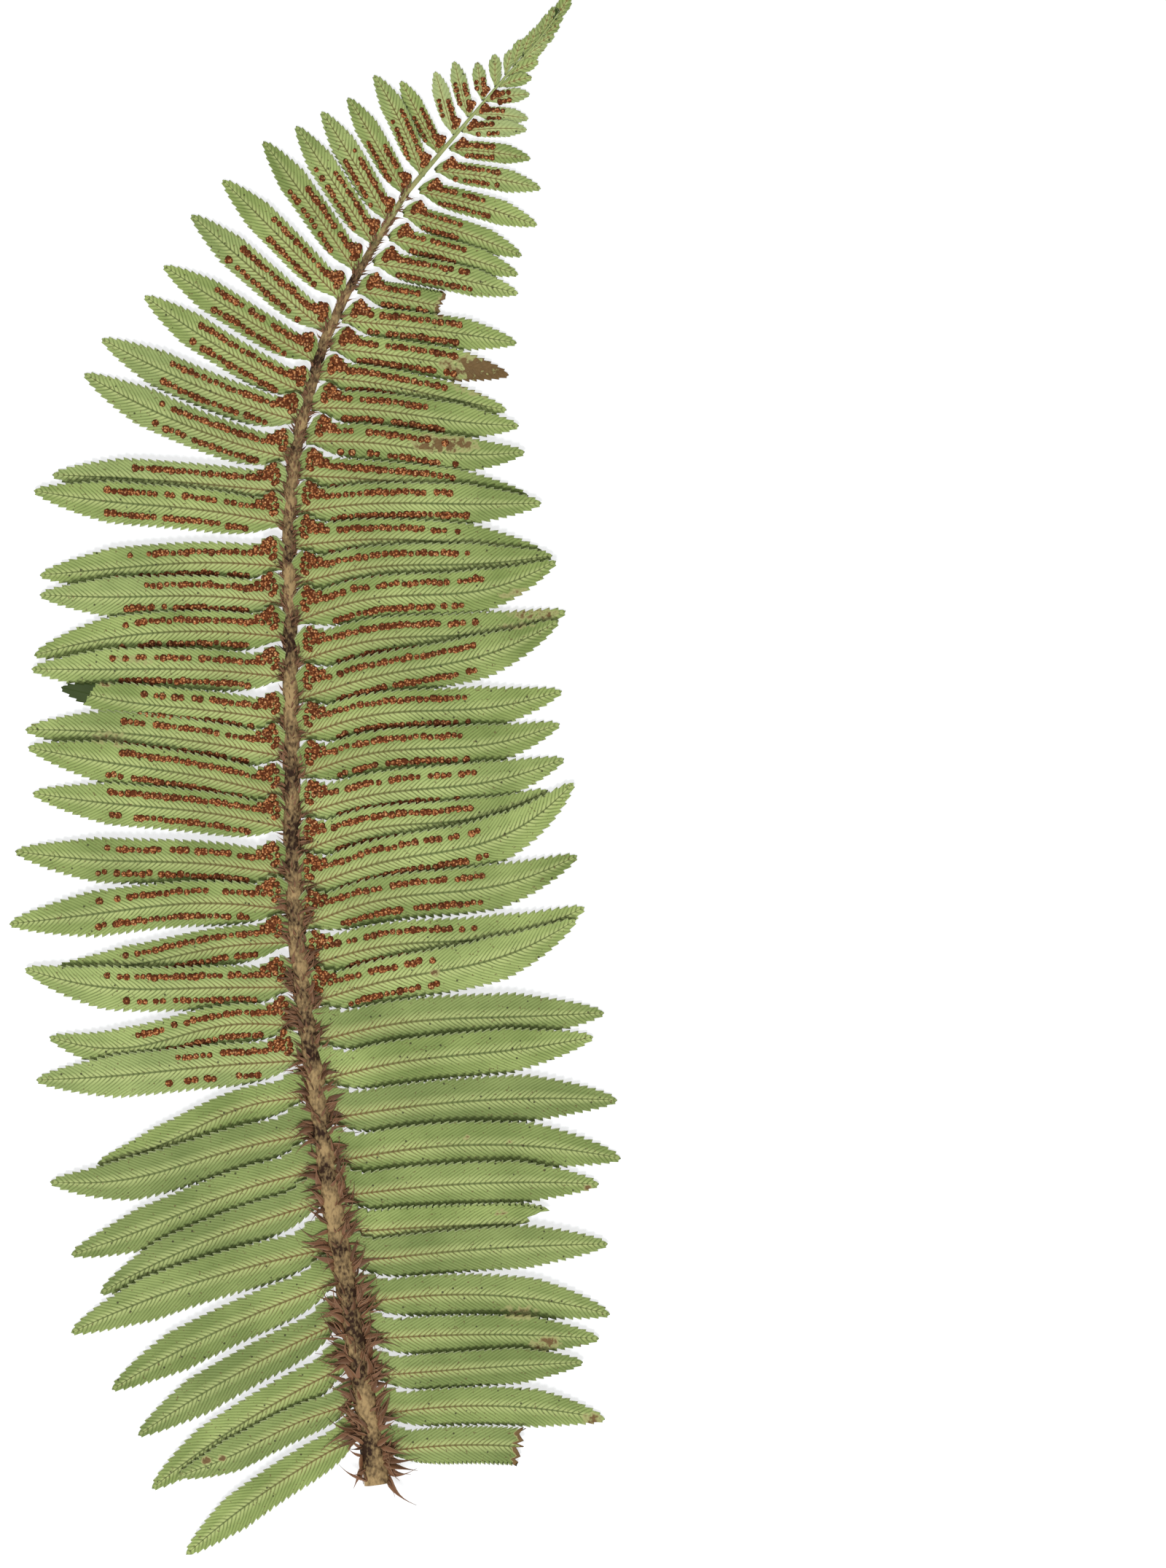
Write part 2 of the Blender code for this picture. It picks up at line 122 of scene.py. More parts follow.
LEFT_PINNAE = [
    Pinna((492, 1970), (255, 2134), 10),
    Pinna((487, 1926), (243, 2026), 3, 4, 1.2),
    Pinna((477, 1873), (208, 2043), 10),
    Pinna((467, 1814), (189, 1970), 8),
    Pinna((460, 1760), (153, 1907), 10),
    Pinna((451, 1714), (97, 1829), 13),
    Pinna((440, 1651), (137, 1775), 12),
    Pinna((433, 1607), (97, 1722), 6, 4),
    Pinna((427, 1556), (68, 1622), -10, 7, 0.6),
    Pinna((420, 1506), (133, 1597), 7, 8),
    Pinna((411, 1456), (49, 1482), 0, 2),
    Pinna((406, 1409), (67, 1423), -8, 13, 0.4),
    Pinna((400, 1355), (34, 1329), -15, 5, 1.1),
    Pinna((395, 1294), (76, 1328), -2, 6),
    Pinna((393, 1249), (12, 1268), 14, 4),
    Pinna((391, 1200), (20, 1168), 2, 4),
    Pinna((390, 1136), (44, 1088), 4, 3),
    Pinna((389, 1094), (38, 1025), 4, 3, 1.1),
    Pinna((389, 1039), (34, 1001), 10),
    Pinna((389, 989), (84, 943), -4, 3, 1.8),
    Pinna((389, 930), (43, 918), 6, 2, 1.2),
    Pinna((388, 875), (46, 899), 19),
    Pinna((386, 828), (54, 816), 4, 3, 0.9),
    Pinna((386, 778), (54, 789), 9, 2),
    Pinna((387, 719), (46, 673), 2, 3, 0.9),
    Pinna((388, 675), (71, 651), 3),
    Pinna((397, 629), (115, 512), -12),
    Pinna((408, 578), (139, 464), -9),
    Pinna((418, 540), (198, 405), -7),
    Pinna((427, 493), (224, 364), -1),
    Pinna((444, 452), (262, 294), -1),
    Pinna((463, 407), (305, 246), 1),
    Pinna((485, 369), (361, 193), 2),
    Pinna((510, 333), (406, 172), 1),
    Pinna((531, 302), (441, 152), 2),
    Pinna((553, 265), (477, 133), 2),
    Pinna((577, 238), (513, 102), 5),
    Pinna((600, 208), (550, 110)),
    Pinna((621, 182), (597, 97)),
    Pinna((641, 158), (623, 83)),
    Pinna((661, 135), (655, 84)),
    Pinna((679, 116), (679, 73)),
    Pinna((693, 100), (702, 67)),
    Pinna((704, 89), (715, 53)),
    Pinna((715, 79), (727, 47)),
    Pinna((725, 69), (736, 37)),
    Pinna((735, 58), (747, 27)),
    Pinna((744, 47), (753, 18)),
    Pinna((753, 35), (762, 8)),
]

RIGHT_PINNAE = [
    Pinna((529, 1992), (830, 2005), 16, 0, 0.4, (0.62, 0.60)),
    Pinna((521, 1941), (830, 1948), 16, 0, 0.2),
    Pinna((511, 1888), (800, 1869), 2, 0, 1.4),
    Pinna((502, 1838), (822, 1837), 7, 0, 0.8),
    Pinna((494, 1789), (837, 1804), 20),
    Pinna((475, 1733), (834, 1707), 6, 0, 0.8),
    Pinna((467, 1692), (826, 1682), 6, 0, 0.0, (0.80, 0.58)),
    Pinna((460, 1643), (822, 1625), 10, 0, 0.5),
    Pinna((452, 1597), (852, 1590), 23),
    Pinna((445, 1537), (847, 1510), 13),
    Pinna((439, 1483), (814, 1423), 5, 4, 0.5),
    Pinna((434, 1430), (829, 1390), 13, 4),
    Pinna((427, 1376), (790, 1262), -12, 8, 1.1),
    Pinna((421, 1327), (802, 1245), -6, 11),
    Pinna((415, 1272), (792, 1174), -2, 11),
    Pinna((413, 1222), (787, 1074), -22, 14, 1.1),
    Pinna((413, 1170), (752, 1084), -3, 11),
    Pinna((413, 1118), (774, 1041), -2, 8),
    Pinna((413, 1065), (768, 993), 2, 10),
    Pinna((412, 1012), (771, 948), 5, 9),
    Pinna((411, 960), (766, 852), -9, 8, 1.1),
    Pinna((411, 908), (776, 838), 0, 10),
    Pinna((408, 853), (763, 770), -5, 12, 1.9),
    Pinna((407, 802), (758, 762), 7, 6, 1.1),
    Pinna((406, 750), (745, 757), 12, 2, 0.3),
    Pinna((408, 703), (743, 690), 6, 3, 1.0),
    Pinna((413, 653), (725, 680), 3, 1),
    Pinna((425, 606), (720, 620), -3, 5, 1.2),
    Pinna((432, 560), (712, 584), 2, 3, 0.8),
    Pinna((441, 518), (695, 562), 4, 2),
    Pinna((457, 478), (698, 514), 3),
    Pinna((473, 440), (709, 470), 3),
    Pinna((494, 400), (705, 442), 2, 0, 0.0, (0.53, 0.50)),
    Pinna((516, 362), (711, 402), 3),
    Pinna((537, 328), (711, 376), 3),
    Pinna((556, 295), (716, 350), 3),
    Pinna((578, 263), (737, 308), 3),
    Pinna((600, 234), (742, 258), 3),
    Pinna((619, 205), (728, 217), 3),
    Pinna((636, 180), (723, 177), 3),
    Pinna((653, 156), (725, 162), 2),
    Pinna((669, 138), (727, 128), 2),
    Pinna((686, 118), (730, 105), 2),
    Pinna((698, 103), (739, 83), 2),
    Pinna((710, 89), (743, 68), 2),
    Pinna((722, 75), (750, 57)),
    Pinna((734, 62), (760, 45)),
    Pinna((745, 48), (767, 32)),
    Pinna((754, 36), (771, 20)),
    Pinna((761, 26), (776, 8)),
]
TERMINAL_LOBE = Pinna((758, 30), (783, -8))
TERMINAL_INDEX = 60

# Blade of a pinna: width, margins and heights
WIDTH_AT_NO_LENGTH_PX = 12.0
WIDTH_PER_LENGTH = 0.135
FULL_LENGTH_PX = 330
TIP_HEIGHT_MM = 0.03
ARCH_MM = 0.85
LEAST_ROOT_HEIGHT = 0.42 * MILLIMETRE
# Shares of the rachis's height and half-width at which the leaflet's root starts in it
ROOT_HEIGHT_SHARE = 0.5
ROOT_DEPTH_SHARE = 0.6
# Slope of the blade across its rib, and how far its halves fall away from it
TILT = 0.21
DROOP = 0.10 * MILLIMETRE
BLADE_THICKNESS = 0.22 * MILLIMETRE
# Least height of the blade's upper face, in steps so that blades don't coincide
LOWEST_TOP = 0.27 * MILLIMETRE
STACK_STEP = 0.015 * MILLIMETRE
STACK_LEVELS = 7
TAPER_SHARE = 0.31
TAPER_POWER = 0.62
STALK = 0.16
# Half-width of the blade against the distance from the root, on the frond's tip side
# with its ear, and on the side of the frond's base, where it is cut away
UPPER_MARGIN = [
    (0.06, STALK),
    (0.13, 0.85),
    (0.26, 1.28),
    (0.50, 1.47),
    (0.80, 1.40),
    (1.10, 1.14),
    (1.35, 0.98),
    (1.80, 0.97),
    (2.60, 1.0),
]
LOWER_MARGIN = [
    (0.12, STALK),
    (0.50, 0.34),
    (1.00, 0.60),
    (1.60, 0.80),
    (2.30, 0.93),
    (3.20, 1.0),
]
STALK_LENGTH = 0.2
# The ear leans back by so much, and its cross lines turn from the rachis's way to the rib's
EAR_LEAN = 0.42
EAR_LENGTH = 1.6
EAR_TURN_LENGTH = 2.5
# Teeth: each is four columns of the mesh, given as outward and forward steps
TOOTH_PITCH_PX = 11.0
TOOTH_STEPS = [(-0.09, 0.0), (-0.055, 0.1), (0.0, 0.5), (0.045, 1.6)]
TOOTH_BITES = (0.7, 1.25)
TOOTH_FORWARD = 0.8
TEETH_FROM = 0.68
TEETH_OVER = 0.32
LEAST_COLUMNS = 16
ROWS_ACROSS = (0.0, 0.05, 0.16, 0.34, 0.52, 0.68, 0.83, 1.0)
RIB_RIDGE = 0.16 * MILLIMETRE
RIPPLE = 0.16 * MILLIMETRE
RIPPLE_SCALE = 330
# The blade's own map: so many millimetres of leaf fill it each way
UV_SPAN_MM = 60.0
UV_SPAN = UV_SPAN_MM * MILLIMETRE
UV_START = 0.02
VEIN_SLANT = 1.08
VEIN_BEND = 1.25
VEIN_WANDER = 0.55
# Tone of a leaflet, from dull -1 to bright 1, and what the small young ones add
FERTILE_TONES = (-0.25, 0.35)
STERILE_TONES = (-0.7, -0.1)
YOUNG_PX = 100
YOUNG_TONE = 0.8

# Sori: about 1.3 mm across, in a row on each side of the rib and crowded in the ear
SORUS_RADIUS = 0.68 * MILLIMETRE
SORUS_SEGMENTS = 8
SORUS_RINGS = 6
SORUS_FLATNESS = 0.5
SORUS_UNEVENNESS = (0.74, 1.2)
SORUS_BASE = -0.02 * MILLIMETRE
SORUS_PITCH = 1.16 * MILLIMETRE
SORUS_ROW = 0.54
SORUS_SEEDS = (3, 4, 5, 6)
FULL_SORUS_HALF_WIDTH = 3.0 * MILLIMETRE
LEAST_SORUS_SIZE = 0.8
# The rows start so many half-widths out, and the one nearer the frond's base a bit later
FIRST_SORUS = 1.5
LOWER_ROW_START = 1.1
MISSING_SORI = 0.05
MISSING_AT_END = 0.35
MISSING_OVER = 0.15
CLEAR_OF_CUT = 0.04
# Chance in where a row ends, and in each sorus's place, size, distance on and tone
ROW_ENDS = 0.05
ROW_WIDTHS = (0.93, 1.07)
ROW_SIZES = (0.8, 1.2)
ROW_PITCHES = (0.82, 1.15)
EAR_WIDTHS = (0.96, 1.04)
EAR_SIZES = (0.85, 1.05)
SORUS_TONES = (-1, 0.9)
FIRST_FERTILE_LEFT = 11
FIRST_FERTILE_RIGHT = 13
# Lengths from which a leaflet is fertile and from which it counts as long, and how far
# out the sori run on a short one, on the first fertile one and on the rest
FERTILE_FROM_PX = 48
LONG_FROM_PX = 190
FERTILE_SHORT = 0.58
FERTILE_FIRST = 0.5
FERTILE_LONG = 0.68
EAR_SORI = [
    (0.34, 0.50),
    (0.30, 0.78),
    (0.36, 1.06),
    (0.66, 0.66),
    (0.64, 0.94),
    (0.60, 1.20),
    (0.98, 0.60),
    (0.94, 0.88),
    (1.26, 0.60),
    (0.48, 0.40),
    (1.22, 0.82),
    (0.82, 0.80),
    (0.82, 1.08),
    (0.52, 1.30),
]

# Dead or bitten places: pixel, radii in pixels across and down, and how brown they are
BROWN_PLACES = [
    (716, 2012, 9, 32, 1.0),
    (812, 1947, 16, 10, 0.75),
    (748, 1842, 24, 12, 0.8),
    (712, 1801, 30, 13, 0.55),
    (688, 1664, 9, 6, 0.8),
    (806, 1630, 6, 5, 0.9),
    (720, 2000, 8, 8, 1.0),
    (672, 512, 56, 30, 1.3),
    (620, 500, 30, 14, 0.6),
    (720, 815, 44, 10, 0.55),
    (612, 610, 50, 12, 1.0),
    (584, 604, 22, 9, 0.8),
    (735, 842, 40, 10, 0.75),
    (710, 858, 30, 6, 0.6),
    (604, 424, 8, 16, 1.0),
    (597, 1334, 7, 5, 1.2),
    (283, 2003, 7, 6, 1.1),
    (305, 2000, 6, 5, 1.1),
    (184, 905, 34, 10, 0.5),
    (146, 938, 12, 5, 0.8),
    (150, 1012, 28, 12, 0.55),
    (166, 1022, 12, 5, 0.8),
    (640, 1560, 5, 4, 0.9),
    (700, 1566, 5, 3, 0.9),
]
# Each fades out over so many of its radii
BROWN_REACH = 1.5
BROWN_FADE = 1.2
# One leaflet's folded end shows its upper side
FOLDED_TIP_PINNA = "pinna_left_20"
FOLDED_TIP_PX = (118, 962)
FOLD_SLOPE = 0.6
# Broken ends: ragged, and brown from a little before the end, apart from one
GREEN_CUT_PINNA = "pinna_right_07"
CUT_RAGGEDNESS = 0.02
CUT_BROWN = 1.6
CUT_BROWN_FROM = 0.035
CUT_BROWN_OVER = 0.03

# Chaff: share of the route that it coats, and its scales
CHAFF_END = 0.80
SCALE_SEED = 11
SCALE_LONGEST = 6.2 * MILLIMETRE
SCALE_SHORTEST = 2.2 * MILLIMETRE
SCALE_GROUPS = 6
SCALES_PER_GROUP = (240, 260, 260, 260, 240, 180)
# Share of the scales that grow in tufts at the leaflets' roots, and a tuft's spread
TUFT_SHARE = 0.6
TUFT_SPREAD = 0.006
HIGHEST_SCALE = 4.35 * MILLIMETRE
LOWEST_SCALE = 0.05 * MILLIMETRE
# Sideways curl and upward bow of each master, and half-widths from its root to its point
SCALE_CURLS = [(0.10, 0.10), (0.40, 0.08), (-0.40, 0.12), (0.70, 0.14), (-0.66, 0.06)]
SCALE_WIDTHS = (0.08, 0.13, 0.125, 0.095, 0.055, 0.026, 0.012, 0.003)
SCALE_CUP = 0.035
SCALE_THICKNESS = 0.012
# Where a scale sits, from the middle of the stalk's top 0 to its side 1, and how often
# one sits on the top, near the cut and as much more often at the chaff's end
SIDE_LEANS = (0.72, 1.0)
TOP_CHANCE = 0.10
TOP_CHANCE_GAIN = 0.5
SCALE_ROOT_DEPTH = 0.92
# Scales grow shorter and lie closer towards the frond's tip, and spread widest at the cut
SHORTENING = 1.45
SHORTENING_POWER = 0.7
LENGTH_JITTER = (0.45, 1.1)
WIDTH_JITTER = (0.45, 1.15)
SPREAD_DEGREES = (20, 125)
CUT_END_SHARE = 0.03
CUT_END_SPREAD = 1.5
RISES = (-0.2, 0.08)
LEAST_RISE = -0.3
ROOM_FOR_CURL = 0.16
ROLL = 0.9

# Floor, light and camera
FLOOR_SIZE = 6
FLOOR_GLOW = 0.68
SURROUND_STRENGTH = 0.55
LAMP_PLACE = (-0.2, -0.85, 1.5)
LAMP_WIDTH = 0.5
LAMP_WATTS = 20
CAMERA_LENS = 150
CAMERA_SENSOR = 36


def place(pixel, height=0.0):
    """The point under a pixel of the photograph, at a height in metres."""
    x = (pixel[0] - ORIGIN_PIXEL[0]) * METRES_PER_PIXEL
    y = (ORIGIN_PIXEL[1] - pixel[1]) * METRES_PER_PIXEL
    return Vector((x, y, height))


def mix_of(a, b, share):
    return a + (b - a) * share


def ease(share):
    share = min(1.0, max(0.0, share))
    return share * share * (3 - 2 * share)


def crosswise(direction):
    """The flat direction a quarter turn to the left of this one."""
    return Vector((-direction.y, direction.x, 0)).normalized()


def read_table(table, x):
    """The value at x on straight lines between the table's points."""
    if x <= table[0][0]:
        return table[0][1]
    for (x0, y0), (x1, y1) in zip(table, table[1:]):
        if x <= x1:
            return mix_of(y0, y1, (x - x0) / (x1 - x0))
    return table[-1][1]


def linear(code):
    """Linear colour from an sRGB hex code such as 8D9B60."""
    channels = [int(code[i : i + 2], 16) / 255 for i in (0, 2, 4)]
    return [c / 12.92 if c <= 0.04045 else ((c + 0.055) / 1.055) ** 2.4 for c in channels] + [1]


def add_node(tree, kind, settings=None, links=None):
    """Adds a node, sets its properties and sockets, and links what feeds it."""
    node = tree.nodes.new(kind)
    for key, value in (settings or {}).items():
        if isinstance(key, int) or key in node.inputs:
            node.inputs[key].default_value = value
        else:
            setattr(node, key, value)
    for key, source in (links or {}).items():
        tree.links.new(source, node.inputs[key])
    return node


def new_material(name):
    """An empty material with its tree and its surface shader."""
    made = bpy.data.materials.new(name)
    made.use_nodes = True
    tree = made.node_tree
    return made, tree, tree.nodes["Principled BSDF"]


def lay_tints(tree, colour, tints):
    """Lays tints over a colour. Each covers it as its source runs through a range."""
    for source, (low, high), (least, most), code in tints:
        cover = add_node(
            tree,
            "ShaderNodeMapRange",
            {"From Min": low, "From Max": high, "To Min": least, "To Max": most},
            {0: source},
        )
        colour = add_node(
            tree,
            "ShaderNodeMix",
            {"data_type": "RGBA", 7: linear(code)},
            {0: cover.outputs[0], 6: colour},
        ).outputs[2]
    return colour


def finish_surface(tree, shader, colour, relief, height, gloss):
    """Gives a shader its colour, relief of a strength and depth, roughness and specular."""
    strength, depth = relief
    bump = add_node(
        tree,
        "ShaderNodeBump",
        {"Strength": strength, "Distance": depth},
        {"Height": height},
    )
    tree.links.new(colour, shader.inputs["Base Color"])
    tree.links.new(bump.outputs[0], shader.inputs["Normal"])
    shader.inputs["Roughness"].default_value = gloss[0]
    shader.inputs["Specular IOR Level"].default_value = gloss[1]


def leaf_underside():
    """Fern leaf, underside: matt sage green, with slanting veins and pale flanks of the rib."""
    made, tree, shader = new_material("fern_leaf_underside")
    spot = add_node(tree, "ShaderNodeTexCoord").outputs["Object"]
    uv = add_node(tree, "ShaderNodeUVMap", {"uv_map": "UVMap"}).outputs[0]
    parts = add_node(tree, "ShaderNodeSeparateXYZ", None, {0: uv}).outputs
    edge, tone, brown = [
        add_node(tree, "ShaderNodeAttribute", {"attribute_name": name}).outputs["Fac"]
        for name in ("edge", "tone", "brown")
    ]

    # Millimetres along the rib and away from it. A vein leaves the rib at about 40 degrees
    # and bends towards the leaflet's tip
    along = add_node(
        tree, "ShaderNodeMath", {"operation": "MULTIPLY", 1: UV_SPAN_MM}, {0: parts[0]}
    )
    bend = parts[1]
    for settings in (
        {"operation": "SUBTRACT", 1: 0.5},
        {"operation": "ABSOLUTE"},
        {"operation": "MULTIPLY", 1: UV_SPAN_MM},
        {"operation": "POWER", 1: VEIN_BEND},
    ):
        bend = add_node(tree, "ShaderNodeMath", settings, {0: bend}).outputs[0]
    run = add_node(
        tree,
        "ShaderNodeMath",
        {"operation": "MULTIPLY_ADD", 1: -VEIN_SLANT},
        {0: bend, 2: along.outputs[0]},
    )
    wander = add_node(tree, "ShaderNodeTexNoise", {"Scale": 420.0, "Detail": 2.0}, {0: spot})
    run = add_node(
        tree,
        "ShaderNodeMath",
        {"operation": "MULTIPLY_ADD", 1: VEIN_WANDER},
        {0: wander.outputs[0], 2: run.outputs[0]},
    )
    # Real veins are 0.45 mm apart: these are 1 mm, the finest that shows in the render
    turns = add_node(
        tree, "ShaderNodeMath", {"operation": "MULTIPLY", 1: 2 * math.pi}, {0: run.outputs[0]}
    )
    wave = add_node(tree, "ShaderNodeMath", {"operation": "SINE"}, {0: turns.outputs[0]})
    veins = add_node(
        tree, "ShaderNodeMapRange", {"From Min": 0.0, "From Max": 1.0}, {0: wave.outputs[0]}
    )

    # How strong each effect is: its source, the source's range and what it gives there
    cloudy = add_node(tree, "ShaderNodeTexNoise", {"Scale": 70.0, "Detail": 3.0}, {0: spot})
    uneven = add_node(tree, "ShaderNodeTexNoise", {"Scale": 500.0, "Detail": 2.0}, {0: spot})
    ragged = add_node(tree, "ShaderNodeTexNoise", {"Scale": 900.0, "Detail": 6.0}, {0: spot})
    share = {}
    for name, source, (low, high), (least, most) in (
        ("cloudy", cloudy.outputs[0], (0.35, 0.65), (0.0, 1.0)),
        ("uneven", uneven.outputs[0], (0.3, 0.65), (0.55, 1.0)),
        ("fading", edge, (0.1, 0.8), (0.85, 0.45)),
        ("young", tone, (0.4, 0.9), (1.0, 0.4)),
        ("basal", along.outputs[0], (4.0, 26.0), (0.85, 0.0)),
        ("inner", edge, (0.12, 0.5), (1.0, 0.0)),
        ("rib", edge, (0.02, 0.075), (0.85, 0.0)),
        ("patchy", ragged.outputs[0], (0.35, 0.65), (0.4, 1.6)),
    ):
        share[name] = add_node(
            tree,
            "ShaderNodeMapRange",
            {"From Min": low, "From Max": high, "To Min": least, "To Max": most},
            {0: source},
        ).outputs[0]
    # Veins are uneven, fade towards the margin, and are faint on the small young leaflets.
    # Near the root they carry rust-red hairs. Dead places are ragged.
    for name, first, factors in (
        ("strokes", veins.outputs[0], (share["uneven"], share["fading"], share["young"])),
        ("rusty", share["basal"], (share["inner"],)),
        ("dead", share["patchy"], (brown,)),
    ):
        share[name] = first
        for factor in factors:
            share[name] = add_node(
                tree,
                "ShaderNodeMath",
                {"operation": "MULTIPLY"},
                {0: share[name], 1: factor},
            ).outputs[0]

    # Leaf green: cloudy, duller or brighter by leaflet, and paler on the flanks of the rib
    green = add_node(
        tree,
        "ShaderNodeMix",
        {"data_type": "RGBA", 6: linear("7D8F4C"), 7: linear("9FB067")},
        {0: share["cloudy"]},
    )
    colour = lay_tints(
        tree,
        green.outputs[2],
        [
            (tone, (0.0, -1.0), (0.0, 0.8), "667444"),
            (tone, (0.0, 1.0), (0.0, 0.6), "B0BC86"),
            (edge, (0.04, 0.42), (0.6, 0.0), "C0C985"),
        ],
    )
    # Veins and rib, each green or rusty
    for cover, rust, fresh_code, rust_code in (
        (share["strokes"], share["rusty"], "45551F", "7A4420"),
        (share["rib"], share["basal"], "4F5B2A", "6A3F1E"),
    ):
        line = add_node(
            tree,
            "ShaderNodeMix",
            {"data_type": "RGBA", 6: linear(fresh_code), 7: linear(rust_code)},
            {0: rust},
        )
        colour = add_node(
            tree,
            "ShaderNodeMix",
            {"data_type": "RGBA"},
            {0: cover, 6: colour, 7: line.outputs[2]},
        ).outputs[2]
    # A pale rim, brown specks of scurf 0.3 mm across, black pinpricks a few millimetres
    # apart, and dead places, bleached tan at their edge and brown where they are worst
    specks = add_node(tree, "ShaderNodeTexNoise", {"Scale": 1900.0, "Detail": 1.0}, {0: spot})
    dots = add_node(tree, "ShaderNodeTexVoronoi", {"Scale": 420.0}, {0: spot})
    tinted = lay_tints(
        tree,
        colour,
        [
            (edge, (0.93, 1.0), (0.0, 0.55), "CDD3A8"),
            (specks.outputs[0], (0.66, 0.74), (0.0, 0.7), "5D4A2A"),
            (dots.outputs["Distance"], (0.07, 0.11), (0.85, 0.0), "2E2A12"),
            (share["dead"], (0.3, 0.5), (0.0, 0.85), "A09F68"),
        ],
    )
    worst = add_node(
        tree, "ShaderNodeMapRange", {"From Min": 0.6, "From Max": 0.9}, {0: share["dead"]}
    )
    dry = add_node(
        tree,
        "ShaderNodeMix",
        {"data_type": "RGBA", 6: linear("3E2A14"), 7: linear("84693F")},
        {0: ragged.outputs[0]},
    )
    colour = add_node(
        tree,
        "ShaderNodeMix",
        {"data_type": "RGBA"},
        {0: worst.outputs[0], 6: tinted, 7: dry.outputs[2]},
    )
    relief = (0.55, 0.08 * MILLIMETRE)
    finish_surface(tree, shader, colour.outputs[2], relief, veins.outputs[0], (0.62, 0.2))
    return made


def leaf_upper_side():
    """Fern leaf, upper side: dark green with a low waxy gloss, on the side that faces down."""
    made, tree, shader = new_material("fern_leaf_upper_side")
    spot = add_node(tree, "ShaderNodeTexCoord").outputs["Object"]
    broad = add_node(tree, "ShaderNodeTexNoise", {"Scale": 120.0, "Detail": 4.0}, {0: spot})
    colour = add_node(
        tree,
        "ShaderNodeMix",
        {"data_type": "RGBA", 6: linear("1F2B0C"), 7: linear("405021")},
        {0: broad.outputs[0]},
    )
    relief = (0.3, 0.1 * MILLIMETRE)
    finish_surface(tree, shader, colour.outputs[2], relief, broad.outputs[0], (0.55, 0.15))
    return made


def ripe_sorus():
    """Ripe sorus: a heap of rust-brown spore cases, drawn 0.45 mm across so that they show,
    each with painted shade at its rim and a painted highlight in its middle.
    """
    made, tree, shader = new_material("ripe_sorus")
    spot = add_node(tree, "ShaderNodeTexCoord").outputs["Object"]
    tone = add_node(tree, "ShaderNodeAttribute", {"attribute_name": "tone"}).outputs["Fac"]
    cases = add_node(tree, "ShaderNodeTexVoronoi", {"Scale": 2200.0}, {0: spot})
    # Each case is painted dark at its rim, as shade between the cases, and light in its middle,
    # as a painted highlight; the same dome also gives the bump
    case_dome_and_painted_shade = add_node(
        tree,
        "ShaderNodeMapRange",
        {"From Min": 0.1, "From Max": 0.55, "To Min": 1.0, "To Max": 0.0},
        {0: cases.outputs["Distance"]},
    )
    colour = add_node(
        tree,
        "ShaderNodeMix",
        {"data_type": "RGBA", 6: linear("5E2E13"), 7: linear("D98F58")},
        {0: case_dome_and_painted_shade.outputs[0]},
    )
    # Some cases are golden, each all over, and brightest in its middle as a painted highlight
    lot = add_node(tree, "ShaderNodeSeparateColor", None, {0: cases.outputs["Color"]})
    golden_cases_and_painted_highlight = add_node(
        tree,
        "ShaderNodeMapRange",
        {"From Min": 0.55, "From Max": 1.0, "To Min": 0.0, "To Max": 0.75},
        {0: lot.outputs[0]},
    )
    golden_cases_and_painted_highlight = add_node(
        tree,
        "ShaderNodeMath",
        {"operation": "MULTIPLY"},
        {0: golden_cases_and_painted_highlight.outputs[0], 1: case_dome_and_painted_shade.outputs[0]},
    )
    colour = add_node(
        tree,
        "ShaderNodeMix",
        {"data_type": "RGBA", 7: linear("F0C68C")},
        {0: golden_cases_and_painted_highlight.outputs[0], 6: colour.outputs[2]},
    )
    colour = lay_tints(
        tree, colour.outputs[2], [(tone, (-0.3, -1.0), (0.0, 0.45), "3A1D0B")]
    )
    relief = (0.8, 0.12 * MILLIMETRE)
    finish_surface(tree, shader, colour, relief, case_dome_and_painted_shade.outputs[0], (0.8, 0.15))
    return made


def scurfy_stalk():
    """Fern stalk with scurf: brown, grainy with tan flecks 0.5 mm across, green at the tip."""
    made, tree, shader = new_material("scurfy_fern_stalk")
    spot = add_node(tree, "ShaderNodeTexCoord").outputs["Object"]
    parts = add_node(tree, "ShaderNodeSeparateXYZ", None, {0: spot}).outputs
    drawn = add_node(tree, "ShaderNodeMapping", {"Scale": (1.0, 0.6, 1.0)}, {0: spot})
    grain = add_node(
        tree, "ShaderNodeTexNoise", {"Scale": 1900.0, "Detail": 6.0}, {0: drawn.outputs[0]}
    )
    # Where the scurf has worn off, the stalk is tan for a few millimetres
    worn = add_node(tree, "ShaderNodeTexNoise", {"Scale": 190.0, "Detail": 3.0}, {0: spot})
    fleck = add_node(
        tree,
        "ShaderNodeMath",
        {"operation": "MULTIPLY_ADD", 1: 1.3},
        {0: worn.outputs[0], 2: grain.outputs[0]},
    )
    fleck = add_node(
        tree, "ShaderNodeMapRange", {"From Min": 0.94, "From Max": 1.38}, {0: fleck.outputs[0]}
    )
    colour = add_node(
        tree,
        "ShaderNodeMix",
        {"data_type": "RGBA", 6: linear("2C190B"), 7: linear("A68C61")},
        {0: fleck.outputs[0]},
    )
    low, high = [
        (ORIGIN_PIXEL[1] - pixel) * METRES_PER_PIXEL
        for pixel in (GREEN_STALK_FROM_PX, GREEN_STALK_FULL_PX)
    ]
    colour = lay_tints(
        tree, colour.outputs[2], [(parts[1], (low, high), (0.0, 0.92), "A3B070")]
    )
    relief = (0.8, 0.12 * MILLIMETRE)
    finish_surface(tree, shader, colour, relief, grain.outputs[0], (0.75, 0.2))
    return made


